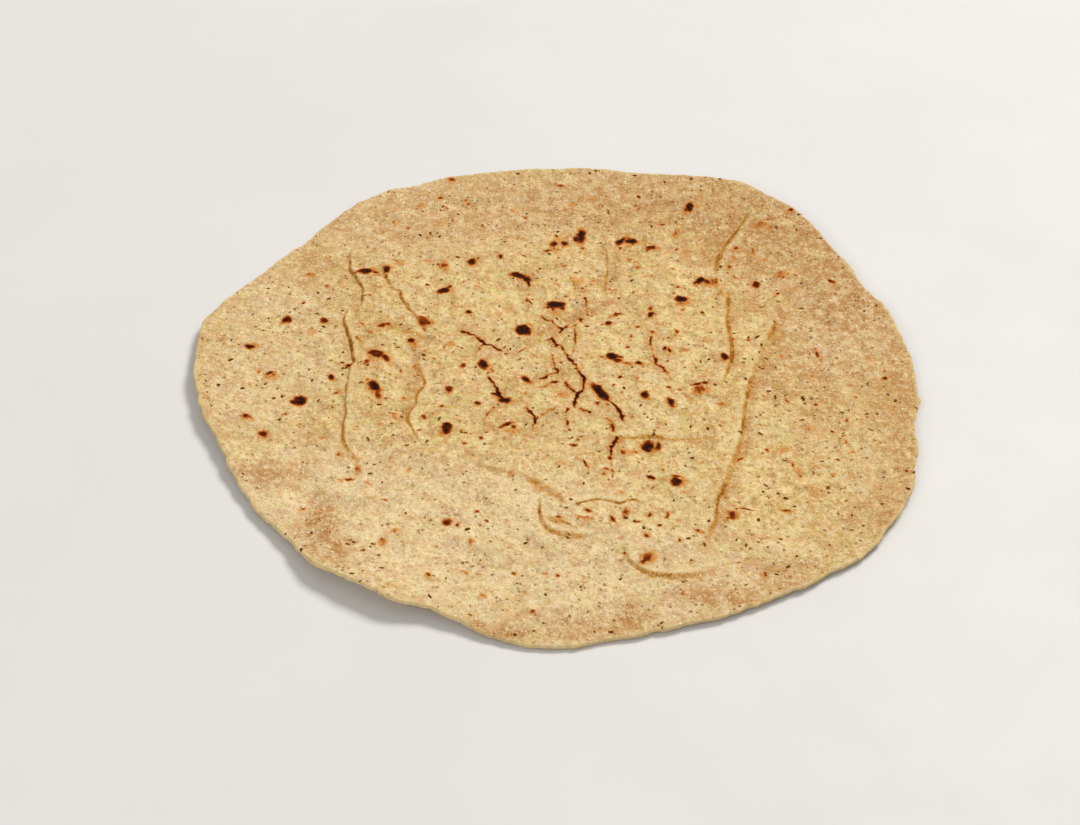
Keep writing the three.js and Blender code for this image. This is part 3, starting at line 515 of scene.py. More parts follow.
DOT_OVAL = (1.1, 0.9)  # length and width of a small round spot, as shares of its size
DOT_TURN = 47.0  # degrees by which each is turned further than the last
CRACK_RIDGE = 0.14  # height of the skin along a scorched wrinkle
SPOT_RISE = 0.2  # how far a spot stands proud of the skin
FULL_SPOT = 3.0  # width from which a spot stands proud in full
# How much nearer marks lie on the steamed middle, which leans that way as it
# swells.
MARK_DRIFT = 1.2

# How marks, folds and patches of tone wander from their tables: reach, size of
# the parts that move together, and seed.
SEAM_WANDER = (0.3, 2.5, 21.0)
SCORCH_WANDER = ((0.5, 1.9, 11.0), (0.28, 0.8, 31.0))
FOLD_WANDER = (1.2, 9.0, 27.0)
TONE_WANDER = (2.2, 7.0, 91.0)

# Beside the browned line of a seam: painted shade on its low side and a painted
# highlight along the lip on its high side, each with its distance from the line's edge and its width.
LOW_SIDE_SHADE_STRENGTH = 0.26
LOW_SIDE_SHADE_PLACE, LOW_SIDE_SHADE_WIDTH = 0.6, 1.2
LIP_HIGHLIGHT_PLACE, LIP_HIGHLIGHT_WIDTH = 0.9, 0.6
LIP_HIGHLIGHT_RUN_OUT = 2.0

# Patches of tone: middle, half sizes and strength. They have faded away at
# PATCH_FADE half sizes.
PATCH_FADE = 1.5
# Browner skin: partly the dough's own toasting and partly painted shade, which darkens the far side, the
# right rim and the bent front-left part.
TOASTED_AND_SHADED = (
    (103, -8, 13, 66, 0.8),
    (62, 76, 28, 22, 1.0),
    (88, 52, 20, 34, 1.0),
    (82, 14, 20, 40, 0.6),
    (22, 90, 60, 16, 0.85),
    (-45, 76, 40, 18, 0.65),
    (-76, -50, 10, 6, 0.8),
    (-62, -69, 5, 11, 1.2),
    (-56, -79, 6, 5, 1.0),
    (16, -101, 30, 7, 0.5),
    (-13, -105, 9, 4, 1.2),
    (5, -102, 8, 4.5, 1.2),
    (22, -96, 6, 5, 1.1),
    (46, -88, 12, 5, 1.0),
    (66, -79, 14, 7, 0.75),
    (92, -52, 12, 16, 0.8),
    (-76, 45, 20, 10, 0.5),
    (-104, -30, 8, 60, 0.35),
)
# Skin with dry flour left on it.
FLOURED = (
    (-52, 76, 34, 26, 0.7),
    (-16, 85, 30, 17, 0.7),
    (18, 96, 34, 12, 0.6),
    (70, 66, 22, 22, 0.35),
    (84, 30, 16, 24, 0.85),
    (88, -35, 14, 25, 0.15),
    (0, -84, 75, 22, 0.9),
    (-60, -62, 36, 26, 1.0),
    (-86, 5, 20, 45, 0.65),
    (-25, -60, 42, 20, 1.0),
)
# Paler, drier skin, and painted light that brightens the near and middle parts.
PALE_SKIN_AND_LIGHT = (
    (20, -46, 50, 22, 0.5),
    (66, -34, 26, 36, 0.65),
    (36, 14, 20, 30, 0.7),
    (-8, 6, 50, 44, 0.4),
    (4, -84, 62, 16, 0.5),
    (66, 54, 8, 5, 1.2),
    (62, 79, 6, 4, 1.1),
    (-4, -9, 8, 7, 1.3),
    (14, 16, 9, 8, 1.3),
    (41, 20, 8, 15, 1.5),
    (22, -4, 7, 6, 1.1),
    (-48, -4, 8, 12, 1.0),
    (33, 56, 8, 6, 1.0),
    (-20, 34, 10, 8, 0.8),
    (1, 46, 7, 6, 0.8),
    (22, -40, 13, 8, 1.1),
    (61, -20, 7, 16, 1.3),
    (20, -66, 14, 8, 0.8),
    (-56.5, -12, 3, 16, 0.7),
    (-28, -66, 20, 12, 0.8),
    (-52, -52, 12, 8, 0.8),
    (-73, -61, 3.5, 9, 1.7),
    (-50, -72, 4, 9, 1.3),
    (-88, -42, 4, 5, 1.0),
)
# Painted shade along folds and beside seams, laid on as browner skin: strength, half width and path.
FOLD_SHADE_BANDS = (
    (1.3, 2.6, ((60, 88), (54, 73), (50, 58))),
    (0.7, 4.6, ((61, 74), (58, 52), (57, 38))),
    (1.1, 2.8, ((67, 36), (61.5, 12), (57, -2))),
    (0.6, 1.9, ((50.5, 48), (50.3, 28), (51, 8))),
    (1.1, 2.4, ((14, 63), (14.5, 46), (12, 36), (4, 28), (-4, 20))),
    (1.1, 2.4, ((-42, 12), (-41, -2), (-43, -22))),
    (0.45, 2.0, ((-56, 22), (-46, 17), (-33, 11))),
    (0.9, 2.8, ((27, 63), (27, 73), (36, 86))),
    (0.9, 2.2, ((58, 1), (54.8, -14), (53.6, -28))),
    (0.8, 2.4, ((53, -28), (47, -46), (43, -66))),
    (0.4, 2.4, ((-54, 44), (-47, 31), (-40, 18))),
    (0.35, 2.4, ((-62, 46), (-61, 22), (-58, 2), (-57, -28))),
)


# ---- small helpers ----------------------------------------------------------


def ease(t):
    t = np.clip(t, 0.0, 1.0)
    return t * t * (3.0 - 2.0 * t)


def bell(distance, spread):
    return np.exp(-((distance / spread) ** 2))


def turn_between(a, b):
    """Difference of two directions in degrees, from -180 to 180."""
    return (a - b + 180.0) % 360.0 - 180.0


def grain(x, y, size, seed):
    """Smooth noise from -1 to 1 whose patches are about `size` across."""
    points = zip(x / size, y / size)
    return np.array([noise.noise(Vector((u, v, seed))) for u, v in points])


def wandered(x, y, reach, size, seed):
    """The points pushed about at random, by patches about `size` across."""
    return x + reach * grain(x, y, size, seed), y + reach * grain(x, y, size, seed + 50.0)


def bands(table, x, y):
    """Strongest of some soft bands that follow paths at each point."""
    field = np.zeros(x.shape)
    for strength, half_width, path in table:
        field = np.maximum(field, strength * bell(Beside(path, x, y).gap, half_width))
    return field


def patches(table, x, y):
    """Strongest of some soft oval patches at each point."""
    field = np.zeros(x.shape)
    for at_x, at_y, half_x, half_y, strength in table:
        away = np.hypot((x - at_x) / half_x, (y - at_y) / half_y)
        field = np.maximum(field, strength * ease(PATCH_FADE - away))
    return field


PIECE = 1.5  # mm of a path for each straight piece of it
MOST_PIECES = 7  # straight pieces between two points of a path


def smooth_path(points):
    """A smooth curve through the points, cut into short straight pieces. What a
    point holds besides its place changes as smoothly."""
    points = [np.array(p, float) for p in points]
    chain = [2 * points[0] - points[1], *points, 2 * points[-1] - points[-2]]
    out = []
    for a, b, c, d in zip(chain, chain[1:], chain[2:], chain[3:]):
        ab, bc, cd = (math.sqrt(math.dist(p[:2], q[:2])) for p, q in ((a, b), (b, c), (c, d)))
        leave = ((b - a) / ab - (c - a) / (ab + bc) + (c - b) / bc) * bc
        reach = ((c - b) / bc - (d - b) / (bc + cd) + (d - c) / cd) * bc
        pieces = min(MOST_PIECES, 2 + int(math.dist(b[:2], c[:2]) / PIECE))
        for i in range(pieces):
            t = i / pieces
            curve = b * (2 * t**3 - 3 * t**2 + 1) + c * (3 * t**2 - 2 * t**3)
            out.append(curve + leave * (t**3 - 2 * t**2 + t) + reach * (t**3 - t**2))
    out.append(points[-1])
    return np.array(out)


class Beside:
    """Where points lie beside a path: `side`, their distance from it, above zero
    on the left; `gap`, the same without its sign; `past`, how far they are past
    either end; and `held`, what the path holds at their foot on it."""

    def __init__(self, points, x, y):
        path = smooth_path(points)
        self.gap = np.full(x.shape, np.inf)
        self.side, self.past = np.zeros(x.shape), np.zeros(x.shape)
        self.held = [np.zeros(x.shape) for _ in path[0][2:]]
        last = len(path) - 2
        for i, (start, end) in enumerate(zip(path, path[1:])):
            dx, dy = end[:2] - start[:2]
            length = math.hypot(dx, dy)
            t = ((x - start[0]) * dx + (y - start[1]) * dy) / length
            left = ((y - start[1]) * dx - (x - start[0]) * dy) / length
            over = np.zeros(x.shape)
            if i == 0:
                over += np.maximum(0.0, -t)
            if i == last:
                over += np.maximum(0.0, t - length)
            foot = np.clip(t, 0.0, length)
            away = np.hypot(left, t - foot)
            near = away < self.gap
            self.gap = np.where(near, away, self.gap)
            self.side = np.where(near, np.where(over > 0, left, np.sign(left) * away), self.side)
            self.past = np.where(near, over, self.past)
            for n, (here, there) in enumerate(zip(start[2:], end[2:])):
                self.held[n] = np.where(near, here + (there - here) * foot / length, self.held[n])


# ---- surfaces of the round --------------------------------------------------


def edge_radius(direction):
    """Radius of the round in a direction given in degrees."""
    radius = np.full(np.shape(direction), RADIUS)
    for at, out, spread in OUTLINE_LOBES:
        radius = radius + out * bell(turn_between(direction, at), spread * math.sqrt(2))
    for waves, depth, start in OUTLINE_WAVES:
        radius = radius + depth * np.sin(np.radians(waves * direction + start))
    return radius


def edge_gap(x, y):
    """Distance of a point from the edge, along its own radius."""
    return edge_radius(np.degrees(np.arctan2(y, x))) - np.hypot(x, y)


def underside_height(x, y):
    direction = np.degrees(np.arctan2(y, x))
    height = np.zeros(x.shape)
    for at, lift, spread, reach in CURLS:
        climb = np.clip(1.0 - edge_gap(x, y) / reach, 0.0, 1.0) ** 2
        height += lift * climb * bell(turn_between(direction, at), spread * math.sqrt(2))
    return height * ease((np.hypot(x, y) - FLAT_FOOT) / FLAT_FOOT)


def seam_height(rise, run, beside):
    climb = ease(beside.side / STEP_WIDTH + 0.5) * np.exp(-np.maximum(0.0, beside.side) / run)
    return (1.0 - ease(beside.past / RUN_OUT)) * rise * climb


def brown_and_shaded_line(beside):
    """How brown the line of a seam is at each point, 0 to 1: the dough's own
    browning and painted shade, with painted shade beside it on its low side.
    """
    width, tint = beside.held
    soft = 0.24 + 0.3 * width
    line = tint * ease(0.5 + (width / 2 - beside.gap) / soft)
    # Painted shade beside the line, on the seam's low side.
    low_side_shade = LOW_SIDE_SHADE_STRENGTH * tint * bell(beside.side + width / 2 + LOW_SIDE_SHADE_PLACE, LOW_SIDE_SHADE_WIDTH) * (beside.past < 0.5)
    return np.maximum(line, low_side_shade)


def lip_highlight_share(beside):
    """Painted highlight along the lifted skin that hangs over a seam, 0 to 1."""
    width, tint = beside.held
    lip_highlight = (0.3 + 0.7 * tint) * bell(beside.side - width / 2 - LIP_HIGHLIGHT_PLACE, LIP_HIGHLIGHT_WIDTH)
    return lip_highlight * (1.0 - ease(beside.past / LIP_HIGHLIGHT_RUN_OUT))


def puff_height(x, y, height):
    across = (x - PUFF_CENTRE[0]) / PUFF_HALF_SIZE[0]
    along = (y - PUFF_CENTRE[1]) / PUFF_HALF_SIZE[1]
    outward = (across**4 + along**4) ** 0.25
    return height * ease((1 + PUFF_SLOPE / 2 - outward) / PUFF_SLOPE)


def dough_wave(height, length, turn, x, y):
    turn = math.radians(turn)
    u = (x * math.cos(turn) + y * math.sin(turn)) * math.tau / length
    v = (y * math.cos(turn) - x * math.sin(turn)) * math.tau / length
    return height * np.sin(u + np.sin(v)) * np.sin(v + 1.3 * np.cos(u))


def spot_depth(spot, x, y):
    """Distance of points inside the rim of an oval spot, below zero outside."""
    at_x, at_y, length, width, turn, _ = spot
    turn = math.radians(turn)
    u = ((x - at_x) * math.cos(turn) + (y - at_y) * math.sin(turn)) * 2 / length
    v = ((y - at_y) * math.cos(turn) - (x - at_x) * math.sin(turn)) * 2 / width
    return (1.0 - np.hypot(u, v)) * min(length, width) / 2


def small_spots(count, seed, reach):
    """Scattered small spots of the same form as those in SPOTS."""
    random = np.random.default_rng(seed)
    spots = []
    for n in range(count):
        direction, out = random.uniform(0, math.tau), reach * math.sqrt(random.uniform())
        lengths, burns = FAINT_SPOT if n % 3 == 0 else SMALL_SPOT
        length, burn = random.uniform(*lengths), random.uniform(*burns)
        spot = (out * math.cos(direction), out * math.sin(direction), length)
        spots.append((*spot, length * random.uniform(0.5, 1), random.uniform(0, 180), burn))
    return spots


def drifted(x, y):
    """The points as the tables of marks see them."""
    return x, y + puff_height(x, y, MARK_DRIFT)


def seam_places(x, y):
    """The points as the seams see them, so that the seams wander a little."""
    return wandered(*drifted(x, y), *SEAM_WANDER)


def scorch_places(x, y):
    """The points as spots and cracks see them, so that their rims are ragged."""
    x, y = wandered(*drifted(x, y), *SCORCH_WANDER[0])
    return wandered(x, y, *SCORCH_WANDER[1])


def round_spots():
    """The small round spots in the form of those in SPOTS, each a little oval."""
    long, wide = DOT_OVAL
    return [(x, y, long * size, wide * size, DOT_TURN * n, burn) for n, (x, y, size, burn) in enumerate(DOTS)]


class Skin:
    """The top skin: its height above the underside, and the fields that its
    colours follow, at a set of points."""

    HALO = 0.66  # mm from the rim of a spot to its blackest and to clean dough
    WELL_BURNT = 0.6  # spots burnt more than this are even, the others patchy
    WARMTH = 1.6  # mm of golden skin round a large spot
    GOLD = 0.4  # how burnt that skin is at most
    LEAN = 0.35  # how far it lies to one side, in widths of its spot
    CRACK_WIDTH, CRACK_BURN = 0.95, 0.97  # as shares of what the table says
    CRACK_HALO = 0.3  # as HALO, but for a crack
    CRACK_GOLD, CRACK_WARMTH = 0.3, 0.9  # as GOLD and WARMTH, but for a crack
    CRACK_TOAST, CRACK_BAND = 0.9, 2.0  # strength of the browner skin beside a crack, and its mm
    CRACK_RIDGE_WIDTH = 0.7
    # Noises of the marks: size of their patches in mm, and seed.
    SEAM_GRAIN, SEAM_DRIFT, CRACK_GRAIN = (1.4, 41.0), (5.0, 43.0), (1.3, 81.0)
    SPOT_GRAIN, FAINT_GRAIN, GOLD_GRAIN = (1.7, 61.0), (1.1, 63.0), (2.6, 71.0)
    # Noises of the crumb: share of the whole, size of their patches, and seed.
    CRUMB = ((0.5, 1.2, 8.4), (1.1, 2.2, 3.1), (2.2, 4.2, 5.7), (3.2, 8.5, 6.9))

    def __init__(self, sizes, x, y):
        self.x, self.y = x, y
        self.inside = ease(edge_gap(x, y) / EDGE_BAND)
        self.seam_brown_and_shade, self.lip_highlight = np.zeros(x.shape), np.zeros(x.shape)
        self.scorch, self.cracked = np.zeros(x.shape), np.zeros(x.shape)
        relief = puff_height(x, y, sizes.puff / MM)
        relief += self.seams(sizes.groove / MM)
        relief += self.wrinkles()
        relief += self.blisters()
        relief += sum(dough_wave(*wave, x, y) for wave in DOUGH_WAVES)
        spots = [*SPOTS, *round_spots(), *small_spots(sizes.small_spots, sizes.seed, TOP_SPOT_REACH)]
        marks = np.maximum(self.spots(spots), self.cracks())
        relief += marks + self.crumb(sizes.crumb / MM)
        dough = sizes.edge / MM + (sizes.dough - sizes.edge) / MM * self.inside
        self.height = dough + relief * (EDGE_RELIEF + (1.0 - EDGE_RELIEF) * self.inside)
        x, y = wandered(x, y, *TONE_WANDER)
        # Browner skin, partly painted shade on the far side, the right rim, the bent front-left part and
        # along folds.
        self.toast_and_shade = np.maximum(patches(TOASTED_AND_SHADED, x, y), bands(FOLD_SHADE_BANDS, x, y))
        self.toast_and_shade = np.maximum(self.toast_and_shade, self.CRACK_TOAST * self.cracked)
        self.flour = patches(FLOURED, x, y)
        # Paler skin, partly painted light that brightens the near and middle parts.
        self.paleness_and_light = patches(PALE_SKIN_AND_LIGHT, x, y)

    def noise(self, size, seed):
        return grain(self.x, self.y, size, seed)

    def seams(self, groove):
        relief = np.zeros(self.x.shape)
        x, y = seam_places(self.x, self.y)
        lively = 0.92 + 0.6 * self.noise(*self.SEAM_GRAIN) + 0.5 * self.noise(*self.SEAM_DRIFT)
        for rise, run, points in (*SEAMS.values(), *FINE_SEAMS.values()):
            beside = Beside(points, x, y)
            line_and_shade = brown_and_shaded_line(beside)
            relief += seam_height(rise, run, beside) - groove * line_and_shade
            # Browned line of the seam: partly the dough's own browning, partly painted shade.
            self.seam_brown_and_shade = np.maximum(self.seam_brown_and_shade, line_and_shade * lively)
            # Painted highlight along the lifted lip of the seam.
            self.lip_highlight = np.maximum(self.lip_highlight, lip_highlight_share(beside))
        # Flat browned bands, partly painted shade.
        for points in BANDS:
            self.seam_brown_and_shade = np.maximum(self.seam_brown_and_shade, brown_and_shaded_line(Beside(points, x, y)) * lively)
        return relief

    def wrinkles(self):
        relief = np.zeros(self.x.shape)
        x, y = wandered(self.x, self.y, *FOLD_WANDER)
        for height, width, points in (*WRINKLES.values(), *FOLDS):
            beside = Beside(points, x, y)
            relief += (1.0 - ease(beside.past / RUN_OUT)) * height * bell(beside.side, width)
        return relief

    def blisters(self):
        relief = np.zeros(self.x.shape)
        for at_x, at_y, radius, height in BLISTERS:
            away = np.hypot(self.x - at_x, self.y - at_y) / radius
            relief += height * ease(1.0 - away)
        return relief

    def burn(self, burnt):
        self.scorch = np.maximum(self.scorch, burnt)

    def spots(self, spots):
        relief = np.zeros(self.x.shape)
        x, y = scorch_places(self.x, self.y)
        uneven = 1.0 - 0.4 * np.clip(self.noise(*self.SPOT_GRAIN), 0.0, 1.0)
        patchy = 0.95 + 0.9 * self.noise(*self.FAINT_GRAIN)
        glow = np.clip(0.6 + 0.9 * self.noise(*self.GOLD_GRAIN), 0.1, 1.0)
        for n, spot in enumerate(spots):
            at_x, at_y, _, width, _, burn = spot
            depth = spot_depth(spot, x, y)
            rise = SPOT_RISE * min(1.0, width / FULL_SPOT)
            relief = np.maximum(relief, rise * ease(0.5 + depth / 1.4))
            soft = self.HALO * min(1.0, 0.4 + width / 4)
            within = np.clip(0.5 + depth / (2 * soft), 0.0, 1.0)
            self.burn(burn * (uneven if burn > self.WELL_BURNT else patchy) * within)
            lean, toward = self.LEAN * width, math.radians(-55 + 80 * math.sin(2.4 * n))
            warm = (at_x + lean * math.cos(toward), at_y + lean * math.sin(toward), *spot[2:])
            reach = min(self.WARMTH, 0.2 + 0.5 * width)
            near = np.clip(1.0 + spot_depth(warm, x, y) / reach, 0.0, 1.0)
            self.burn(np.minimum(self.GOLD * min(1.0, width / 2) * near * glow, burn))
        return relief

    def cracks(self):
        relief = np.zeros(self.x.shape)
        x, y = scorch_places(self.x, self.y)
        lively = 0.95 + 0.8 * self.noise(*self.CRACK_GRAIN)
        for path in CRACKS:
            beside = Beside(path, x, y)
            width, burn = self.CRACK_WIDTH * beside.held[0], self.CRACK_BURN * beside.held[1]
            within = np.clip(0.45 + (width / 2 * lively - beside.gap) / (2 * self.CRACK_HALO), 0.0, 1.0)
            self.burn(burn * within)
            self.burn(self.CRACK_GOLD * burn * np.clip(1.3 - beside.gap / self.CRACK_WARMTH, 0.0, 1.0))
            self.cracked = np.maximum(self.cracked, burn * bell(beside.gap, self.CRACK_BAND))
            relief = np.maximum(relief, CRACK_RIDGE * bell(beside.gap, self.CRACK_RIDGE_WIDTH))
        return relief

    def crumb(self, height):
        """Fine unevenness of the skin."""
        return height * sum(share * self.noise(size, seed) for share, size, seed in self.CRUMB)


# ---- mesh of the round ------------------------------------------------------


EDGE_TURNS = (60, 30, 0, -30, -60)  # rows of the rounded edge, top to bottom
FRAYS = ((0.7, 9.0), (0.5, 3.4), (0.35, 1.4))  # reach and size of the edge's unevenness
FRAY_BAND = 6.0  # mm from the edge that the unevenness moves
PALE_RIM_AND_HIGHLIGHT_WIDTH = 1.8  # width of the paler edge, partly the dough's own and partly painted highlight
REFINING_PASSES = 2
MARK_SPACING = 0.34  # mm between mesh points along seams and spots
CRACK_SPACING = 0.32
TOO_LONG = 1.45  # an edge of the mesh is split from this many times its wanted length


def ring_start(ring):
    return 0 if ring == 0 else 1 + 3 * ring * (ring - 1)


def ring_point(ring, step):
    return 0 if ring == 0 else ring_start(ring) + step % (6 * ring)


def disc_points(rings):
    """Points of the round seen from above: the middle, then ring after ring,
    ring k with 6 k points."""
    directions, shares = [np.zeros(1)], [np.zeros(1)]
    for ring in range(1, rings + 1):
        directions.append(np.arange(6 * ring) * 360.0 / (6 * ring))
        shares.append(np.full(6 * ring, ring / rings))
    direction, share = np.concatenate(directions), np.concatenate(shares)
    radius = (edge_radius(direction) - NOSE) * share
    return radius * np.cos(np.radians(direction)), radius * np.sin(np.radians(direction))


def disc_triangles(rings):
    """Triangles of the round, counter-clockwise seen from above."""
    triangles = []
    for ring in range(1, rings + 1):
        for sector in range(6):
            for i in range(ring):
                outer, inner = sector * ring + i, sector * (ring - 1) + i
                a, b = ring_point(ring, outer), ring_point(ring, outer + 1)
                c = ring_point(ring - 1, inner)
                triangles.append((a, b, c))
                if i < ring - 1:
                    triangles.append((b, ring_point(ring - 1, inner + 1), c))
    return triangles


def wanted_spacing(x, y, coarse):
    """How far apart mesh points may be: close along seams, cracks and spots."""
    spacing = np.full(x.shape, coarse)

    def ask(near, size):
        np.minimum(spacing, np.where(near, size, spacing), out=spacing)

    seam_x, seam_y = seam_places(x, y)
    for points in [*(seam[2] for seam in (*SEAMS.values(), *FINE_SEAMS.values())), *BANDS]:
        beside = Beside(points, seam_x, seam_y)
        ask((beside.gap < beside.held[0] / 2 + 0.5) & (beside.past < 1.0), MARK_SPACING)
    x, y = scorch_places(x, y)
    for path in CRACKS:
        beside = Beside(path, x, y)
        ask(beside.gap < beside.held[0] / 2 + 0.4, CRACK_SPACING)
    for spot in [*SPOTS, *round_spots()]:
        depth = spot_depth(spot, x, y)
        ask((depth > -0.6) & (depth < 0.7), MARK_SPACING)
    return spacing


def refined_disc(rings):
    """The disc with its triangles split where the skin has fine marks. The
    first points are those of the plain disc, in the same order."""
    x, y = disc_points(rings)
    mesh = bmesh.new()
    corners = [mesh.verts.new((u, v, 0.0)) for u, v in zip(x, y)]
    for triangle in disc_triangles(rings):
        mesh.faces.new([corners[i] for i in triangle])
    coarse = 1.1 * RADIUS / rings
    for _ in range(REFINING_PASSES):
        edges = [e for e in mesh.edges if not e.is_boundary]
        ends = np.array([[*e.verts[0].co, *e.verts[1].co] for e in edges])
        middle = (ends[:, 0:2] + ends[:, 3:5]) / 2
        length = np.hypot(ends[:, 0] - ends[:, 3], ends[:, 1] - ends[:, 4])
        spacing = wanted_spacing(middle[:, 0], middle[:, 1], coarse)
        split = [e for e, long in zip(edges, length > TOO_LONG * spacing) if long]
        bmesh.ops.subdivide_edges(mesh, edges=split, cuts=1, use_grid_fill=True)
        bmesh.ops.triangulate(mesh, faces=[f for f in mesh.faces if len(f.verts) > 3])
    mesh.verts.index_update()
    points = np.array([v.co[:2] for v in mesh.verts])
    triangles = [tuple(v.index for v in f.verts) for f in mesh.faces]
    mesh.free()
    return points[:, 0], points[:, 1], triangles


def edge_rows(x, y, thickness, steps):
    """Rows of points down the rounded edge, outside the rim of the top skin."""
    direction = np.arange(steps) * 360.0 / steps
    cosine, sine = np.cos(np.radians(direction)), np.sin(np.radians(direction))
    foot = underside_height(x, y)
    rows = []
    for turn in EDGE_TURNS:
        out = NOSE * math.cos(math.radians(turn))
        high = 0.5 + 0.5 * math.sin(math.radians(turn))
        rows.append(np.stack([x + out * cosine, y + out * sine, foot + thickness * high], axis=1))
    return rows


def edge_faces(brim, first, low_brim):
    """Triangles that join the rim of the top skin, the rows of the edge, whose
    points begin at `first`, and the rim of the underside, which has half as
    many points."""
    steps = len(brim)
    faces = []
    above = brim
    for n in range(len(EDGE_TURNS)):
        row = first + n * steps + np.arange(steps)
        for i in range(steps):
            j = (i + 1) % steps
            faces.append((row[i], row[j], above[j]))
            faces.append((row[i], above[j], above[i]))
        above = row
    for i in range(steps // 2):
        here, there = low_brim + i, low_brim + (i + 1) % (steps // 2)
        a, b, c = above[2 * i], above[2 * i + 1], above[(2 * i + 2) % steps]
        faces += [(here, there, b), (here, b, a), (there, c, b)]
    return faces


def baked_mesh(sizes):
    """The closed round: top skin, rounded edge and underside, with its fields."""
    rings, steps = sizes.rings, 6 * sizes.rings
    x, y, top_faces = refined_disc(rings)
    skin = Skin(sizes, x, y)
    top = np.stack([x, y, underside_height(x, y) + skin.height], axis=1)

    brim = ring_start(rings) + np.arange(steps)
    rows = edge_rows(x[brim], y[brim], skin.height[brim], steps)

    low_rings = rings // 2
    low_x, low_y = disc_points(low_rings)
    under = Underside(sizes, low_x, low_y)
    bottom = np.stack([low_x, low_y, underside_height(low_x, low_y) + under.relief], axis=1)

    below = len(top) + len(rows) * steps
    faces = [*top_faces, *edge_faces(brim, len(top), below + ring_start(low_rings))]
    faces += [(below + a, below + c, below + b) for a, b, c in disc_triangles(low_rings)]
    points = np.concatenate([top, *rows, bottom])
    fray_edge(points)
    return points, faces, skin_fields(skin, under, brim, points)


def skin_fields(skin, under, brim, points):
    """The value of each field at each point of the whole mesh."""
    fields = {}
    # Some of these fields carry painted shade and painted highlights besides the dough's own colours.
    for name in ("scorch", "seam_brown_and_shade", "lip_highlight", "flour", "toast_and_shade", "paleness_and_light"):
        on_top, beneath = getattr(skin, name), getattr(under, name)
        fields[name] = np.concatenate([on_top, *[on_top[brim]] * len(EDGE_TURNS), beneath])
    # The pale edge: partly the dough's own paler dough, partly painted highlight.
    fields["pale_rim_and_highlight"] = np.clip(1.0 - edge_gap(points[:, 0], points[:, 1]) / PALE_RIM_AND_HIGHLIGHT_WIDTH, 0.0, 1.0)
    upper = np.arange(len(points)) < len(skin.x)
    clumps = np.clip(0.65 + 0.9 * grain(points[:, 0], points[:, 1], 7.0, 12.4), 0.1, 1.5)
    loose = np.where(upper, clumps * (1.0 - ease(2.0 * fields["scorch"])), 0.0)
    fields["branny"] = loose * (1.0 - 0.35 * fields["flour"])
    fields["dusted"] = loose * (0.15 + 0.85 * fields["flour"])
    return fields


def fray_edge(points):
    """Pushes the points near the edge in and out a little, as torn dough is."""
    x, y = points[:, 0], points[:, 1]
    direction = np.arctan2(y, x)
    round_x, round_y = RADIUS * np.cos(direction), RADIUS * np.sin(direction)
    push = sum(reach * grain(round_x, round_y, size, 17.0 + size) for reach, size in FRAYS)
    share = 1.0 + push * ease(1.0 - edge_gap(x, y) / FRAY_BAND) / np.maximum(np.hypot(x, y), 1.0)
    points[:, 0] *= share
    points[:, 1] *= share


class Underside:
    """The underside: shallow griddle marks, which never reach below the table."""

    CRUMB = 0.12  # height of its unevenness where it is clear of the table
    CLEAR = 0.6  # how far it is lifted there
    SOFT = 2.4  # width of the soft rim of a mark

    def __init__(self, sizes, x, y):
        lifted = underside_height(x, y)
        self.relief = self.CRUMB * ease(lifted / self.CLEAR) * (1.0 + grain(x, y, 3.0, 9.3))
        self.scorch = np.zeros(x.shape)
        spots = small_spots(UNDER_SPOT_COUNT, sizes.seed + 1, UNDER_SPOT_REACH)
        for at_x, at_y, length, width, turn, burn in spots:
            large = (at_x, at_y, UNDER_SPOT_GROWTH * length, UNDER_SPOT_GROWTH * width, turn, burn)
            burnt = burn * np.clip(0.5 + spot_depth(large, x, y) / self.SOFT, 0.0, 1.0)
            self.scorch = np.maximum(self.scorch, burnt)
        self.seam_brown_and_shade, self.lip_highlight = np.zeros(x.shape), np.zeros(x.shape)
        self.flour = 0.35 + 0.3 * grain(x, y, 22.0, 4.4)
        self.toast_and_shade = np.clip(0.35 + 0.6 * grain(x, y, 16.0, 7.7), 0.0, 1.0)
        self.paleness_and_light = np.zeros(x.shape)


def add_mesh(name, points, faces, fields):
    """A smooth-shaded object at the frame's origin, with a value for each of
    the fields at each point."""
    mesh = bpy.data.meshes.new(name)
    mesh.from_pydata((points * MM).tolist(), [], [tuple(map(int, f)) for f in faces])
    mesh.polygons.foreach_set("use_smooth", np.ones(len(mesh.polygons), dtype=bool))
    for field, values in fields.items():
        attribute = mesh.attributes.new(field, "FLOAT", "POINT")
        attribute.data.foreach_set("value", values.astype(np.float32))
    mesh.update()
    thing = bpy.data.objects.new(name, mesh)
    bpy.context.collection.objects.link(thing)
    return thing


# ---- node trees -------------------------------------------------------------

MATT = 0.03  # specular level of dough, bran and flour


def linear(red, green, blue):
    """A screen colour, 0 to 255, as the linear colour that a shader takes."""
    channels = [c / 255 for c in (red, green, blue)]
    return [c / 12.92 if c <= 0.04045 else ((c + 0.055) / 1.055) ** 2.4 for c in channels]


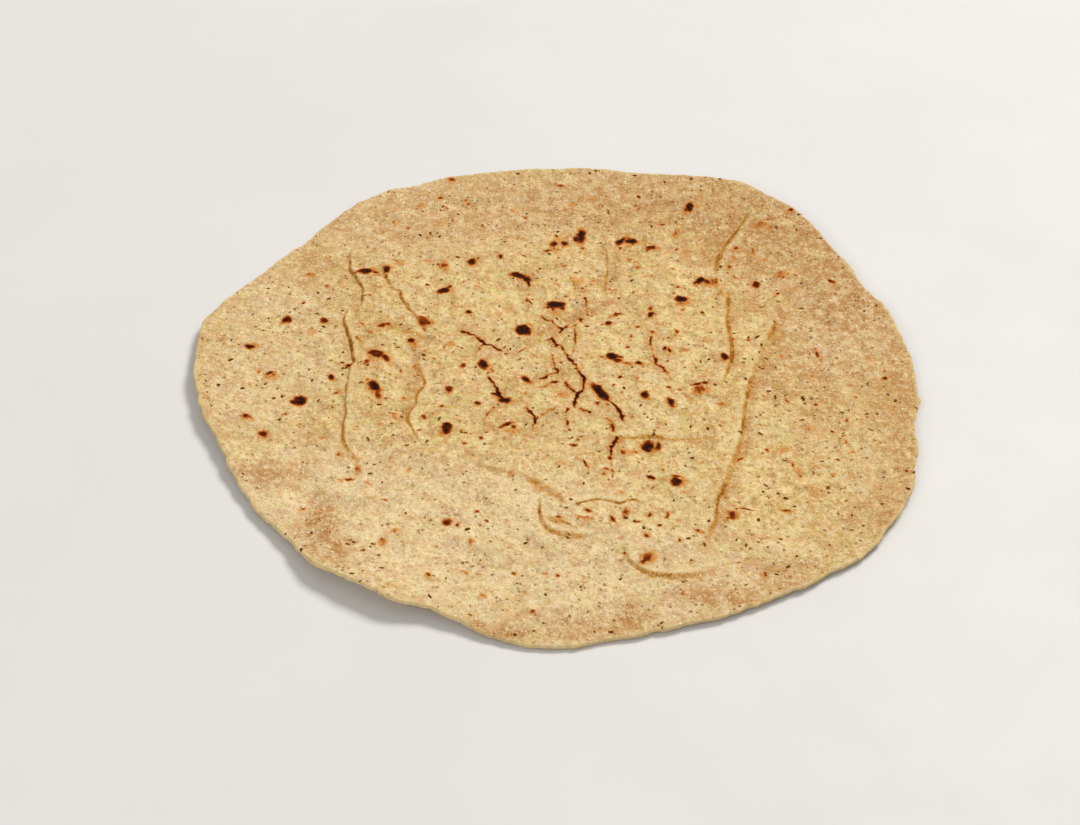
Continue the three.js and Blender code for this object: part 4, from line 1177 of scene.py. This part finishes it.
class Tree:
    """Adds nodes to a node tree and joins them."""

    def __init__(self, tree):
        self.tree = tree

    def add(self, kind, inputs=None, **settings):
        node = self.tree.nodes.new(kind)
        for name, value in settings.items():
            setattr(node, name, value)
        for key, value in (inputs or {}).items():
            self.feed(node.inputs[key], value)
        return node

    def feed(self, socket, value):
        if isinstance(value, bpy.types.NodeSocket):
            self.tree.links.new(value, socket)
        elif socket.type == "RGBA":
            socket.default_value = (*value[:3], 1.0)
        else:
            socket.default_value = value

    def math(self, operation, *values):
        node = self.add("ShaderNodeMath", dict(enumerate(values)), operation=operation)
        return node.outputs[0]

    def vector(self, operation, *values, **named):
        inputs = {**dict(enumerate(values)), **named}
        return self.add("ShaderNodeVectorMath", inputs, operation=operation).outputs[0]

    def blend(self, share, a, b):
        return self.add("ShaderNodeMix", {0: share, 6: a, 7: b}, data_type="RGBA").outputs[2]

    def steps(self, value, low, high, to_low=0.0, to_high=1.0):
        """Eases from to_low to to_high as the value goes from low to high."""
        inputs = {0: value, 1: low, 2: high, 3: to_low, 4: to_high}
        node = self.add("ShaderNodeMapRange", inputs, interpolation_type="SMOOTHSTEP")
        return node.outputs[0]

    def tinted(self, colour, value, low, high, most, tint):
        """A colour with up to `most` of a tint over it, as the value goes from
        low to high."""
        return self.blend(self.steps(value, low, high, 0.0, most), colour, tint)

    def noise(self, place, size, detail=2.0, rough=0.55):
        inputs = {"Vector": place, "Scale": 1.0 / size, "Detail": detail, "Roughness": rough}
        return self.add("ShaderNodeTexNoise", inputs).outputs["Fac"]

    def streaks(self, place, size, turn):
        """Noise drawn out along one direction, which sways from place to place."""
        inputs = {"Vector": place, "Scale": 1 / 16.0, "Detail": 1.0}
        sway = self.add("ShaderNodeTexNoise", inputs).outputs["Color"]
        swayed = self.vector("ADD", place, self.vector("MULTIPLY", sway, (12.0, 12.0, 0.0)))
        inputs = {"Vector": swayed, "Rotation": (0.0, 0.0, turn), "Scale": (1.0, 3.6, 1.0)}
        drawn = self.add("ShaderNodeMapping", inputs, vector_type="TEXTURE")
        return self.noise(drawn.outputs[0], size, 3.0, 0.6)

    def hues(self, place, size):
        """Three separate noises of one size."""
        inputs = {"Vector": place, "Scale": 1.0 / size, "Detail": 3.0, "Roughness": 0.62}
        colour = self.add("ShaderNodeTexNoise", inputs).outputs["Color"]
        return self.add("ShaderNodeSeparateColor", {"Color": colour}).outputs[:3]

    def field(self, name):
        return self.add("ShaderNodeAttribute", attribute_name=name).outputs["Fac"]

    def place(self):
        """Object coordinates in millimetres."""
        return self.vector("SCALE", self.add("ShaderNodeTexCoord").outputs["Object"], Scale=1 / MM)

    def group(self, tree, inputs):
        return self.add("ShaderNodeGroup", inputs, node_tree=tree).outputs


def new_group(name, inputs, outputs, kind="ShaderNodeTree"):
    """An empty node group with named sockets, and its two end nodes."""
    tree = bpy.data.node_groups.new(name, kind)
    for socket, sort, value in inputs:
        made = tree.interface.new_socket(socket, in_out="INPUT", socket_type="NodeSocket" + sort)
        if value is not None:
            made.default_value = value
    for socket, sort in outputs:
        tree.interface.new_socket(socket, in_out="OUTPUT", socket_type="NodeSocket" + sort)
    build = Tree(tree)
    return tree, build, build.add("NodeGroupInput").outputs, build.add("NodeGroupOutput").inputs


def flecks_group():
    """Small oval flecks in random places. Each cell of the pattern may hold one,
    and Share is how many of the cells do."""
    tree, build, given, out = new_group(
        "flecks",
        [
            ("Place", "Vector", None),
            ("Spacing", "Float", 1.0),
            ("Size", "Float", 0.25),
            ("Share", "Float", 0.5),
        ],
        [("Mask", "Float"), ("Halo", "Float"), ("Shade", "Float")],
    )
    jitter = build.add("ShaderNodeTexNoise", {"Vector": given["Place"], "Scale": 2.4, "Detail": 3.0})
    pushed = build.vector("ADD", given["Place"], jitter.outputs["Color"])
    scale = build.math("DIVIDE", 1.0, given["Spacing"])
    cells = build.add("ShaderNodeTexVoronoi", {"Vector": pushed, "Scale": scale})
    chance = build.add("ShaderNodeSeparateColor", {"Color": cells.outputs["Color"]})
    size = build.math("MULTIPLY", given["Size"], build.math("ADD", chance.outputs[1], 0.35))
    soft = build.math("MULTIPLY", size, 0.4)
    mask = build.steps(cells.outputs["Distance"], soft, size, 1.0, 0.0)
    kept = build.math("LESS_THAN", chance.outputs[0], given["Share"])
    build.feed(out["Mask"], build.math("MULTIPLY", mask, kept))
    halo = build.steps(cells.outputs["Distance"], 0.0, build.math("MULTIPLY", size, 2.0), 1.0, 0.0)
    build.feed(out["Halo"], build.math("MULTIPLY", halo, kept))
    build.feed(out["Shade"], chance.outputs[2])


def tone_group():
    """Uneven tone: one value that wanders round a middle of 0.5 over broad and
    narrow patches."""
    tree, build, given, out = new_group(
        "uneven tone",
        [("Place", "Vector", None), ("Broad", "Float", 14.0), ("Narrow", "Float", 1.6)],
        [("Tone", "Float")],
    )
    values = []
    for name in ("Broad", "Narrow"):
        scale = build.math("DIVIDE", 1.0, given[name])
        inputs = {"Vector": given["Place"], "Scale": scale, "Detail": 3.0, "Roughness": 0.6}
        values.append(build.add("ShaderNodeTexNoise", inputs).outputs["Fac"])
    broad = build.math("SUBTRACT", values[0], 0.5)
    build.feed(out["Tone"], build.math("MULTIPLY_ADD", broad, 1.7, values[1]))


def scorch_group(colours):
    """Burns a colour by the scorch field: golden, red-brown, scorched and then
    black."""
    tree, build, given, out = new_group(
        "scorching",
        [
            ("Place", "Vector", None),
            ("Scorch", "Float", 0.0),
            ("Ragged", "Float", 0.2),
            ("Color", "Color", None),
        ],
        [("Color", "Color"), ("Char", "Float")],
    )
    ragged = build.math("SUBTRACT", build.noise(given["Place"], 0.7, 3.0, 0.7), 0.5)
    strength = build.math("MULTIPLY", ragged, given["Ragged"])
    reach = build.steps(given["Scorch"], 0.02, 0.3)
    burn = build.math("MULTIPLY_ADD", strength, reach, given["Scorch"])
    colour = build.tinted(given["Color"], burn, 0.05, 0.34, 0.88, colours.golden)
    colour = build.tinted(colour, burn, 0.3, 0.52, 1.0, colours.red_brown)
    colour = build.tinted(colour, burn, 0.5, 0.72, 1.0, colours.scorched)
    char = build.steps(burn, 0.72, 0.98)
    build.feed(out["Color"], build.blend(char, colour, colours.char))
    build.feed(out["Char"], char)


def shared_groups(colours):
    """The shader node groups that the materials share, made once."""
    groups = bpy.data.node_groups
    if "flecks" not in groups:
        flecks_group()
        tone_group()
        scorch_group(colours)
    return {"flecks": groups["flecks"], "tone": groups["uneven tone"], "scorch": groups["scorching"]}


# ---- materials --------------------------------------------------------------


def new_material(name):
    """A material whose tree has only a Principled shader and its output."""
    material = bpy.data.materials.new(name)
    material.use_nodes = True
    build = Tree(material.node_tree)
    shader = material.node_tree.nodes["Principled BSDF"]
    return material, build, shader.inputs


class Dough:
    """The colour of whole-wheat skin, laid on layer by layer, and the fields and
    noises that it is made of. Sizes are in millimetres."""

    ASIDE = (40.0, 40.0, 40.0)  # so that two noises don't fall together

    def __init__(self, build, colours, groups):
        self.build, self.colours, self.groups = build, colours, groups
        self.place, self.flour = build.place(), build.field("flour")
        inputs = {"Place": self.place, "Broad": 10.0, "Narrow": 2.6}
        tone = build.group(groups["tone"], inputs)["Tone"]
        # The tone is raised by the pale patches, which are partly painted light.
        self.tone = build.math("MULTIPLY_ADD", build.field("paleness_and_light"), 0.26, tone)
        self.streaks = build.streaks(self.place, 1.3, 0.3)
        self.patch = build.noise(self.place, 3.4, 4.0, 0.65)
        self.coarse = build.noise(self.place, 1.3, 4.0, 0.72)
        self.fine = build.noise(self.place, 0.5, 3.0, 0.75)
        self.film = build.math("MULTIPLY", self.flour, build.steps(self.patch, 0.62, 0.4, 0.5, 1.0))
        self.colour = build.blend(build.steps(self.tone, 0.36, 0.74), colours.deep, colours.pale)

    def lay(self, share, tint):
        self.colour = self.build.blend(share, self.colour, tint)

    def lay_where(self, value, low, high, most, tint):
        self.colour = self.build.tinted(self.colour, value, low, high, most, tint)

    def mottle(self):
        """Patches of pinker, greener, yellower, browner and paler dough."""
        build, colours = self.build, self.colours
        self.lay(build.math("MULTIPLY_ADD", self.flour, -0.3, 0.3), colours.puffed)
        pink, yellow, white = build.hues(self.place, 5.0)
        pink = build.steps(pink, 0.47, 0.61)
        pink = build.math("MULTIPLY", pink, build.steps(self.flour, 0.0, 1.0, 0.4, 1.0))
        self.lay(pink, colours.rosy)
        self.lay_where(yellow, 0.5, 0.64, 0.75, colours.leafy)
        self.lay_where(white, 0.52, 0.68, 0.7, colours.milky)
        self.lay_where(build.noise(self.place, 3.0, 3.0, 0.6), 0.54, 0.7, 0.6, colours.honey)
        mottled, ruddy, _ = build.hues(build.vector("ADD", self.place, self.ASIDE), 3.6)
        for blotches, dark, light in ((mottled, 0.7, 0.74), (self.streaks, 0.38, 0.44)):
            self.lay_where(blotches, 0.52, 0.68, dark, colours.mottled)
            self.lay_where(blotches, 0.48, 0.32, light, colours.creamy)
        self.lay_where(ruddy, 0.53, 0.68, 0.7, colours.ruddy)

    def flour_toast_and_shade(self):
        """The film of dry flour, and the browner zones, which are partly painted shade."""
        build = self.build
        self.lay(build.math("MULTIPLY", self.film, 0.6), self.colours.floured)
        # Browner dough, partly painted shade.
        toast_and_shade_share = build.math("MULTIPLY_ADD", build.field("toast_and_shade"), 0.9, 0.1)
        toast_and_shade_share = build.math("MULTIPLY", toast_and_shade_share, build.steps(self.patch, 0.42, 0.58, 0.4, 1.05))
        self.lay(build.math("MULTIPLY", toast_and_shade_share, 0.95), self.colours.toasted_and_shaded)

    def grind(self):
        """Fine bran and flour in the dough. Returns the mask of its dust."""
        build, colours, flecks = self.build, self.colours, self.groups["flecks"]
        for grains, dark, light in ((self.coarse, 0.5, 0.48), (self.fine, 0.42, 0.54)):
            self.lay_where(grains, 0.48, 0.3, dark, colours.bran)
            self.lay_where(grains, 0.52, 0.7, light, colours.flour)
        bran = build.group(flecks, {"Place": self.place, "Spacing": 1.4, "Size": 0.34, "Share": 0.44})
        strong = build.steps(bran["Shade"], 0.0, 1.0, 0.1, 0.85)
        around = build.math("MULTIPLY", bran["Halo"], build.math("MULTIPLY", strong, 0.6))
        self.lay(around, colours.mottled)
        self.lay(build.math("MULTIPLY", bran["Mask"], strong), colours.husk)
        share = build.math("MULTIPLY_ADD", self.flour, 0.35, 0.08)
        dust = build.group(flecks, {"Place": self.place, "Spacing": 1.1, "Size": 0.32, "Share": share})
        self.lay(build.math("MULTIPLY", dust["Mask"], 0.6), colours.flour)
        return dust["Mask"]

    def seams_and_rim(self):
        """The painted highlights on the seams' lips, the seams' brown lines, which are
        partly painted shade, and the pale edge, which is partly painted highlight.
        """
        build, colours = self.build, self.colours
        # Painted highlight along the lifted lips of the seams.
        self.lay(build.math("MULTIPLY", build.field("lip_highlight"), 0.55), colours.lip_highlight)
        # Brown lines of the seams: the dough's own browning and painted shade.
        seam_brown_and_shade = build.math("MULTIPLY", build.field("seam_brown_and_shade"), build.steps(self.fine, 0.35, 0.62, 1.25, 0.75))
        self.lay_where(seam_brown_and_shade, 0.02, 0.7, 0.9, colours.seam_brown_and_shade)
        self.lay_where(seam_brown_and_shade, 0.55, 1.0, 0.8, colours.darkest_seam_brown_and_shade)
        # The pale edge: partly the dough's own paler dough, partly painted highlight.
        pale_rim_and_highlight = build.math("MULTIPLY_ADD", build.math("SUBTRACT", self.patch, 0.5), 1.2, build.field("pale_rim_and_highlight"))
        self.lay_where(pale_rim_and_highlight, 0.25, 0.9, 0.55, colours.pale_rim_and_highlight)


def dough_material(colours, groups):
    """Baked whole-wheat skin: mottled wheat, fine bran and flour in it, brown and
    painted shade in the creases, painted highlights along the seams' lips and the
    edge, painted shade and light in broad patches, and the griddle's marks."""
    material, build, shader = new_material("griddled dough")
    dough = Dough(build, colours, groups)
    dough.mottle()
    dough.flour_toast_and_shade()
    dust = dough.grind()
    dough.seams_and_rim()
    inputs = {"Place": dough.place, "Scorch": build.field("scorch"), "Ragged": 0.5, "Color": dough.colour}
    burnt = build.group(groups["scorch"], inputs)
    build.feed(shader["Base Color"], burnt["Color"])

    rough = build.math("MULTIPLY_ADD", dough.film, 0.12, build.steps(dough.tone, 0.3, 0.7, 0.74, 0.84))
    build.feed(shader["Roughness"], build.math("MULTIPLY_ADD", burnt["Char"], -0.12, rough))

    grit = build.math("MULTIPLY_ADD", dough.coarse, 1.6, build.math("MULTIPLY", dough.fine, 0.4))
    grit = build.math("MULTIPLY_ADD", dust, 0.2, grit)
    grit = build.math("MULTIPLY_ADD", dough.streaks, 0.7, grit)
    bump = build.add("ShaderNodeBump", {"Height": grit, "Strength": 1.0, "Distance": 0.38 * MM})
    build.feed(shader["Normal"], bump.outputs[0])
    shader["Specular IOR Level"].default_value = MATT
    return material


def fleck_material(name, dark, light, groups, rough):
    """Flat specks of one kind, each with a shade of its own."""
    material, build, shader = new_material(name)
    place = build.place()
    tone = build.group(groups["tone"], {"Place": place, "Broad": 9.0, "Narrow": 0.3})["Tone"]
    shade = build.math("MULTIPLY_ADD", build.math("SUBTRACT", tone, 0.5), 0.6, build.field("shade"))
    colour = build.blend(build.steps(shade, 0.0, 1.0), dark, light)
    build.feed(shader["Base Color"], colour)
    build.feed(shader["Roughness"], build.steps(tone, 0.3, 0.7, rough - 0.08, rough + 0.08))
    bump = build.add("ShaderNodeBump", {"Height": tone, "Strength": 0.6, "Distance": 0.03 * MM})
    build.feed(shader["Normal"], bump.outputs[0])
    shader["Specular IOR Level"].default_value = MATT
    return material


def floor_material(colour):
    """Smooth pale board."""
    material, build, shader = new_material("pale board")
    place = build.place()
    tone = build.steps(build.noise(place, 90.0, 3.0), 0.3, 0.7)
    darker = [c * 0.97 for c in colour]
    build.feed(shader["Base Color"], build.blend(tone, darker, colour))
    build.feed(shader["Roughness"], build.steps(build.noise(place, 30.0), 0.3, 0.7, 0.6, 0.68))
    return material


# ---- scattering -------------------------------------------------------------

# How far the random numbers of a speck's parts are from the seed.
SEED_STEPS = {"size": 37, "shade": 11, "turn": 23, "form": 53}
# Specks of bran, pressed flat into the skin, and of flour, lying loose on it.
# Smallest and largest are length, width and height.
BRAN_FLAKES = {
    "Where": "branny",
    "Smallest": (0.95 * MM, 0.58 * MM, 0.05 * MM),
    "Largest": (2.1 * MM, 1.15 * MM, 0.08 * MM),
    "Rarity of large ones": 2.4,
    "Lift": 0.0,
    "Tilt": 0.08,
}
FLOUR_GRAINS = {
    "Where": "dusted",
    "Smallest": (0.16 * MM, 0.14 * MM, 0.07 * MM),
    "Largest": (0.85 * MM, 0.65 * MM, 0.18 * MM),
    "Rarity of large ones": 2.0,
    "Lift": 0.02 * MM,
    "Tilt": 0.4,
}
FLOUR_SEED = 100  # how far the seed of the flour is from that of the bran


def scatter_tree():
    """Geometry Nodes that press small lumps into a skin: where a field says,
    each with its own size, turn and shade."""
    tree, build, given, out = new_group(
        "pressed specks",
        [
            ("Geometry", "Geometry", None),
            ("Most per square metre", "Float", 1e5),
            ("Where", "String", "branny"),
            ("Smallest", "Vector", (1, 1, 1)),
            ("Largest", "Vector", (1, 1, 1)),
            ("Rarity of large ones", "Float", 2.0),
            ("Lift", "Float", 0.0),
            ("Tilt", "Float", 0.0),
            ("Seed", "Int", 0),
            ("Material", "Material", None),
        ],
        [("Geometry", "Geometry")],
        "GeometryNodeTree",
    )

    def random(part, kind, low, high):
        first, made = (0, 0) if kind == "FLOAT_VECTOR" else (2, 1)
        seed = build.math("ADD", given["Seed"], float(SEED_STEPS[part]))
        inputs = {first: low, first + 1: high, "Seed": seed}
        return build.add("FunctionNodeRandomValue", inputs, data_type=kind).outputs[made]

    where = build.add("GeometryNodeInputNamedAttribute", {"Name": given["Where"]}, data_type="FLOAT")
    density = build.math("MULTIPLY", where.outputs[0], given["Most per square metre"])
    spread = build.add(
        "GeometryNodeDistributePointsOnFaces",
        {"Mesh": given["Geometry"], "Density": density, "Seed": given["Seed"]},
        distribute_method="RANDOM",
    )
    lift = build.vector("SCALE", spread.outputs["Normal"], Scale=given["Lift"])
    lifted = build.add("GeometryNodeSetPosition", {"Geometry": spread.outputs["Points"], "Offset": lift})
    large = build.math("POWER", random("size", "FLOAT", 0.0, 1.0), given["Rarity of large ones"])
    middle = build.math("MULTIPLY_ADD", large, -0.9, 0.5)
    shade = build.math("MULTIPLY_ADD", random("shade", "FLOAT", 0.0, 1.0), 0.6, middle)
    stored = build.add(
        "GeometryNodeStoreNamedAttribute",
        {"Geometry": lifted.outputs[0], "Name": "shade", "Value": shade},
        data_type="FLOAT",
    )
    tilt = given["Tilt"]
    back = build.math("MULTIPLY", tilt, -1.0)
    low = build.add("ShaderNodeCombineXYZ", {0: back, 1: back, 2: 0.0}).outputs[0]
    high = build.add("ShaderNodeCombineXYZ", {0: tilt, 1: tilt, 2: math.tau}).outputs[0]
    spin = build.add("FunctionNodeEulerToRotation", {0: random("turn", "FLOAT_VECTOR", low, high)})
    turned = build.add(
        "FunctionNodeRotateRotation",
        {0: spread.outputs["Rotation"], 1: spin.outputs[0]},
        rotation_space="LOCAL",
    )
    lump = build.add("GeometryNodeMeshIcoSphere", {"Radius": 0.5, "Subdivisions": 1})
    sizes = {0: large, 4: given["Smallest"], 5: given["Largest"]}
    shape = build.add("ShaderNodeMix", sizes, data_type="VECTOR")
    uneven = random("form", "FLOAT_VECTOR", (0.75, 0.75, 0.8), (1.25, 1.25, 1.2))
    placed = build.add(
        "GeometryNodeInstanceOnPoints",
        {
            "Points": stored.outputs[0],
            "Instance": lump.outputs[0],
            "Rotation": turned.outputs[0],
            "Scale": build.vector("MULTIPLY", shape.outputs[1], uneven),
        },
    )
    real = build.add("GeometryNodeRealizeInstances", {"Geometry": placed.outputs[0]})
    dressed = {"Geometry": real.outputs[0], "Material": given["Material"]}
    build.feed(out["Geometry"], build.add("GeometryNodeSetMaterial", dressed).outputs[0])
    return tree


def scatter(name, skin, tree, values):
    """Runs a scatter tree over a copy of the skin and keeps its plain mesh."""
    source = bpy.data.objects.new(name + "_source", skin.data)
    bpy.context.collection.objects.link(source)
    modifier = source.modifiers.new("scatter", "NODES")
    modifier.node_group = tree
    sockets = {s.name: s.identifier for s in tree.interface.items_tree if s.in_out == "INPUT"}
    for socket, value in values.items():
        modifier[sockets[socket]] = value
    evaluated = source.evaluated_get(bpy.context.evaluated_depsgraph_get())
    mesh = bpy.data.meshes.new_from_object(evaluated)
    mesh.name = name
    bpy.data.objects.remove(source)
    thing = bpy.data.objects.new(name, mesh)
    bpy.context.collection.objects.link(thing)
    return thing


# ---- settings ---------------------------------------------------------------


def colour_property(name, description, default):
    return FloatVectorProperty(
        name=name, description=description, subtype="COLOR", size=3, min=0, max=1, default=default,
    )


def amount_property(name, description, default, **more):
    return FloatProperty(name=name, description=description, default=default, min=0, **more)


def length_property(name, description, default):
    return amount_property(name, description, default, unit="LENGTH", precision=5)


def angle_property(name, description, degrees):
    return FloatProperty(name=name, description=description, default=math.radians(degrees), subtype="ANGLE")


def count_property(name, description, default, least=0):
    return IntProperty(name=name, description=description, default=default, min=least)


class ChapatiSizes(bpy.types.PropertyGroup):
    """Sizes of the baked round"""

    dough: length_property("Dough", "Thickness of the bread away from its edge", 1.75 * MM)
    edge: length_property("Edge", "Thickness of the bread at its edge", 1.35 * MM)
    puff: length_property("Puff", "Height of the steamed middle", 0.75 * MM)
    groove: length_property("Groove", "Depth of the groove at the foot of a seam", 0.22 * MM)
    crumb: length_property("Crumb", "Height of the fine unevenness of the skin", 0.1 * MM)
    rings: count_property("Rings", "Rings of mesh from the middle to the edge, an even number", 98, 8)
    small_spots: count_property("Small spots", "Scattered small griddle spots", 130)
    seed: count_property("Seed", "Seed of everything scattered", 7)


class ChapatiColours(bpy.types.PropertyGroup):
    """Colours of the baked round"""

    # The lighter end of the tone, toward which the painted light of the pale patches also pushes.
    pale: colour_property("Pale", "Lighter wheat tone", linear(242, 215, 152))
    deep: colour_property("Deep", "Deeper wheat tone", linear(199, 157, 91))
    puffed: colour_property("Puffed", "Skin of the steamed middle", linear(233, 202, 130))
    rosy: colour_property("Rosy", "Pinker wheat tone", linear(203, 155, 116))
    mottled: colour_property("Mottled", "Browner blotches", linear(184, 141, 84))
    creamy: colour_property("Creamy", "Paler blotches", linear(246, 222, 160))
    ruddy: colour_property("Ruddy", "Redder blotches", linear(214, 150, 84))
    honey: colour_property("Honey", "Yellower wheat tone", linear(220, 174, 88))
    leafy: colour_property("Leafy", "Greener wheat tone", linear(214, 199, 120))
    milky: colour_property("Milky", "Whiter wheat tone", linear(231, 213, 163))
    # Colour of the browner dough and of the painted shade laid on as browner dough.
    toasted_and_shaded: colour_property("Toasted", "Browner dough", linear(192, 140, 80))
    floured: colour_property("Floured", "Dough with dry flour on it", linear(246, 222, 177))
    # Colour of the pale edge, which is partly painted highlight.
    pale_rim_and_highlight: colour_property("Rim", "Pale dough of the edge", linear(228, 204, 148))
    # Colours of the seams' lines: browned dough with painted shade in it.
    seam_brown_and_shade: colour_property("Crease", "Baked dough in the seams", linear(198, 140, 52))
    darkest_seam_brown_and_shade: colour_property("Deep crease", "Darkest dough in the seams", linear(138, 76, 20))
    golden: colour_property("Golden", "Lightly baked spots", linear(208, 134, 54))
    red_brown: colour_property("Red-brown", "Well baked spots", linear(152, 66, 14))
    scorched: colour_property("Scorched", "Dark red-brown spots", linear(84, 31, 6))
    char: colour_property("Char", "Burnt spots", linear(36, 18, 11))
    bran: colour_property("Bran", "Bran in the dough", linear(152, 102, 34))
    dark_bran: colour_property("Dark bran", "Darkest bran flakes", linear(102, 55, 8))
    husk: colour_property("Husk", "Specks of husk in the dough", linear(108, 64, 10))
    # The colour of the painted highlight along a seam's lip.
    lip_highlight: colour_property("Lip", "Stretched skin over a seam", linear(240, 216, 156))
    flour: colour_property("Flour", "Dry flour", linear(255, 242, 206))


class ChapatiScatter(bpy.types.PropertyGroup):
    """Amounts of bran and flour"""

    bran: amount_property("Bran", "Most bran flakes on a square metre", 40000)
    flour: amount_property("Flour", "Most flour grains on a square metre", 300000)


class ChapatiStage(bpy.types.PropertyGroup):
    """Camera, light and floor"""

    lens: FloatProperty(name="Lens", description="Focal length", default=76.67, min=1, unit="CAMERA")
    tilt: angle_property("Tilt", "How far the camera looks down", 39.85)
    roll: angle_property("Roll", "Turn of the picture", 3.08)
    camera: FloatVectorProperty(
        name="Camera",
        description="Place of the camera",
        default=(-0.0043, -0.5188, 0.4217),
        subtype="TRANSLATION",
    )
    key: amount_property("Key light", "Power of the main light", 139.0, unit="POWER")
    fill: amount_property("Fill light", "Power of the fill light", 56.0, unit="POWER")
    sky: amount_property("Sky", "Strength of the light from all round", 0.39)
    floor: colour_property("Floor", "Colour of the board", linear(222, 221, 218))


# ---- operators --------------------------------------------------------------

BRAN_ROUGHNESS, FLOUR_ROUGHNESS = 0.75, 0.85
FLOUR_SHADE = 0.9  # how bright the darkest flour is beside the brightest
FLOOR_HALF_SIZE = 9000.0  # in millimetres
# The soft lights, in metres: place, width and height. They face the bread.
KEY_LIGHT = ((1.76, 2.4, 2.72), (1.6, 1.1))
FILL_LIGHT = ((-1.92, -2.88, 2.56), (2.6, 1.9))
LIGHT_COLOUR = (1.0, 0.97, 0.93)
SENSOR_WIDTH = 36.0  # of the camera, in millimetres


def hand_over(thing):
    """Makes a finished piece ride with the bread."""
    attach(thing, BODY)


def scatter_over_bread(name, material, specks, most, seed):
    """Scatters one kind of speck over the baked round and hands it over."""
    tree = bpy.data.node_groups.get("pressed specks") or scatter_tree()
    values = {**specks, "Most per square metre": most, "Seed": seed, "Material": material}
    hand_over(scatter(name, bpy.data.objects["baked_round"], tree, values))


def add_softbox(name, place, size, power):
    """A soft rectangular light that faces the bread."""
    light = bpy.data.lights.new(name, "AREA")
    light.shape, light.size, light.size_y = "RECTANGLE", *size
    light.energy, light.color = power, LIGHT_COLOUR
    thing = bpy.data.objects.new(name, light)
    thing.location = place
    thing.rotation_euler = (-Vector(place)).to_track_quat("-Z", "Y").to_euler()
    bpy.context.collection.objects.link(thing)


class CHAPATI_OT_bake(bpy.types.Operator):
    """Make the baked round with its seams, blisters and griddle marks"""

    bl_idname = "chapati.bake"
    bl_label = "Bake the round"

    def execute(self, context):
        colours = context.scene.chapati_colours
        points, faces, fields = baked_mesh(context.scene.chapati_sizes)
        middle = (points[:, :2].min(axis=0) + points[:, :2].max(axis=0)) / 2
        points[:, :2] -= middle
        baked = add_mesh("baked_round", points, faces, fields)
        baked.data.materials.append(dough_material(colours, shared_groups(colours)))
        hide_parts(NODE)
        hand_over(baked)
        return {"FINISHED"}


class CHAPATI_OT_press_bran(bpy.types.Operator):
    """Press bran flakes into the skin"""

    bl_idname = "chapati.press_bran"
    bl_label = "Press in the bran"

    def execute(self, context):
        scene, colours = context.scene, context.scene.chapati_colours
        groups = shared_groups(colours)
        material = fleck_material("bran flake", colours.dark_bran, colours.bran, groups, BRAN_ROUGHNESS)
        most, seed = scene.chapati_scatter.bran, scene.chapati_sizes.seed
        scatter_over_bread("bran_flakes", material, BRAN_FLAKES, most, seed)
        return {"FINISHED"}


class CHAPATI_OT_dust_flour(bpy.types.Operator):
    """Leave grains of dry flour on the skin"""

    bl_idname = "chapati.dust_flour"
    bl_label = "Dust with flour"

    def execute(self, context):
        scene, colours = context.scene, context.scene.chapati_colours
        groups = shared_groups(colours)
        dusty = [c * FLOUR_SHADE for c in colours.flour]
        material = fleck_material("dry flour", dusty, colours.flour, groups, FLOUR_ROUGHNESS)
        most, seed = scene.chapati_scatter.flour, scene.chapati_sizes.seed + FLOUR_SEED
        scatter_over_bread("flour_grains", material, FLOUR_GRAINS, most, seed)
        return {"FINISHED"}


class CHAPATI_OT_set_stage(bpy.types.Operator):
    """Set the floor, the soft lights and the camera"""

    bl_idname = "chapati.set_stage"
    bl_label = "Set the stage"

    def execute(self, context):
        scene, stage = context.scene, context.scene.chapati_stage
        corners = FLOOR_HALF_SIZE * np.array([(-1, -1, 0), (1, -1, 0), (1, 1, 0), (-1, 1, 0)])
        floor = add_mesh("floor", corners, [(0, 1, 2, 3)], {})
        floor.data.materials.append(floor_material(stage.floor))

        add_softbox("key_light", *KEY_LIGHT, stage.key)
        add_softbox("fill_light", *FILL_LIGHT, stage.fill)
        scene.world = bpy.data.worlds.new("studio")
        scene.world.use_nodes = True
        background = scene.world.node_tree.nodes["Background"].inputs
        background["Color"].default_value = (1.0, 1.0, 1.0, 1.0)
        background["Strength"].default_value = stage.sky

        camera = bpy.data.objects.new("camera", bpy.data.cameras.new("camera"))
        camera.data.lens, camera.data.sensor_width = stage.lens, SENSOR_WIDTH
        camera.data.clip_start = 0.01
        down = Matrix.Rotation(math.pi / 2 - stage.tilt, 4, "X")
        place = Matrix.Translation(stage.camera)
        camera.matrix_world = place @ down @ Matrix.Rotation(stage.roll, 4, "Z")
        context.collection.objects.link(camera)
        scene.camera = camera
        scene.view_settings.view_transform = "Standard"
        return {"FINISHED"}


class CHAPATI_PT_panel(bpy.types.Panel):
    """Steps that make the chapati"""

    bl_label = "Chapati"
    bl_idname = "CHAPATI_PT_panel"
    bl_space_type = "VIEW_3D"
    bl_region_type = "UI"
    bl_category = "Chapati"

    def draw(self, context):
        for step in STEPS:
            self.layout.operator(step.bl_idname)


STEPS = (CHAPATI_OT_bake, CHAPATI_OT_press_bran, CHAPATI_OT_dust_flour, CHAPATI_OT_set_stage)
SETTINGS = {
    "chapati_sizes": ChapatiSizes,
    "chapati_colours": ChapatiColours,
    "chapati_scatter": ChapatiScatter,
    "chapati_stage": ChapatiStage,
}


def register():
    for kind in (*SETTINGS.values(), *STEPS, CHAPATI_PT_panel):
        bpy.utils.register_class(kind)
    for name, kind in SETTINGS.items():
        setattr(bpy.types.Scene, name, PointerProperty(type=kind))


def unregister():
    for name in SETTINGS:
        delattr(bpy.types.Scene, name)
    for kind in (CHAPATI_PT_panel, *STEPS, *SETTINGS.values()):
        bpy.utils.unregister_class(kind)


def main():
    register()
    bpy.ops.chapati.bake()
    bpy.ops.chapati.press_bran()
    bpy.ops.chapati.dust_flour()
    bpy.ops.chapati.set_stage()


if __name__ == "__main__":
    main()
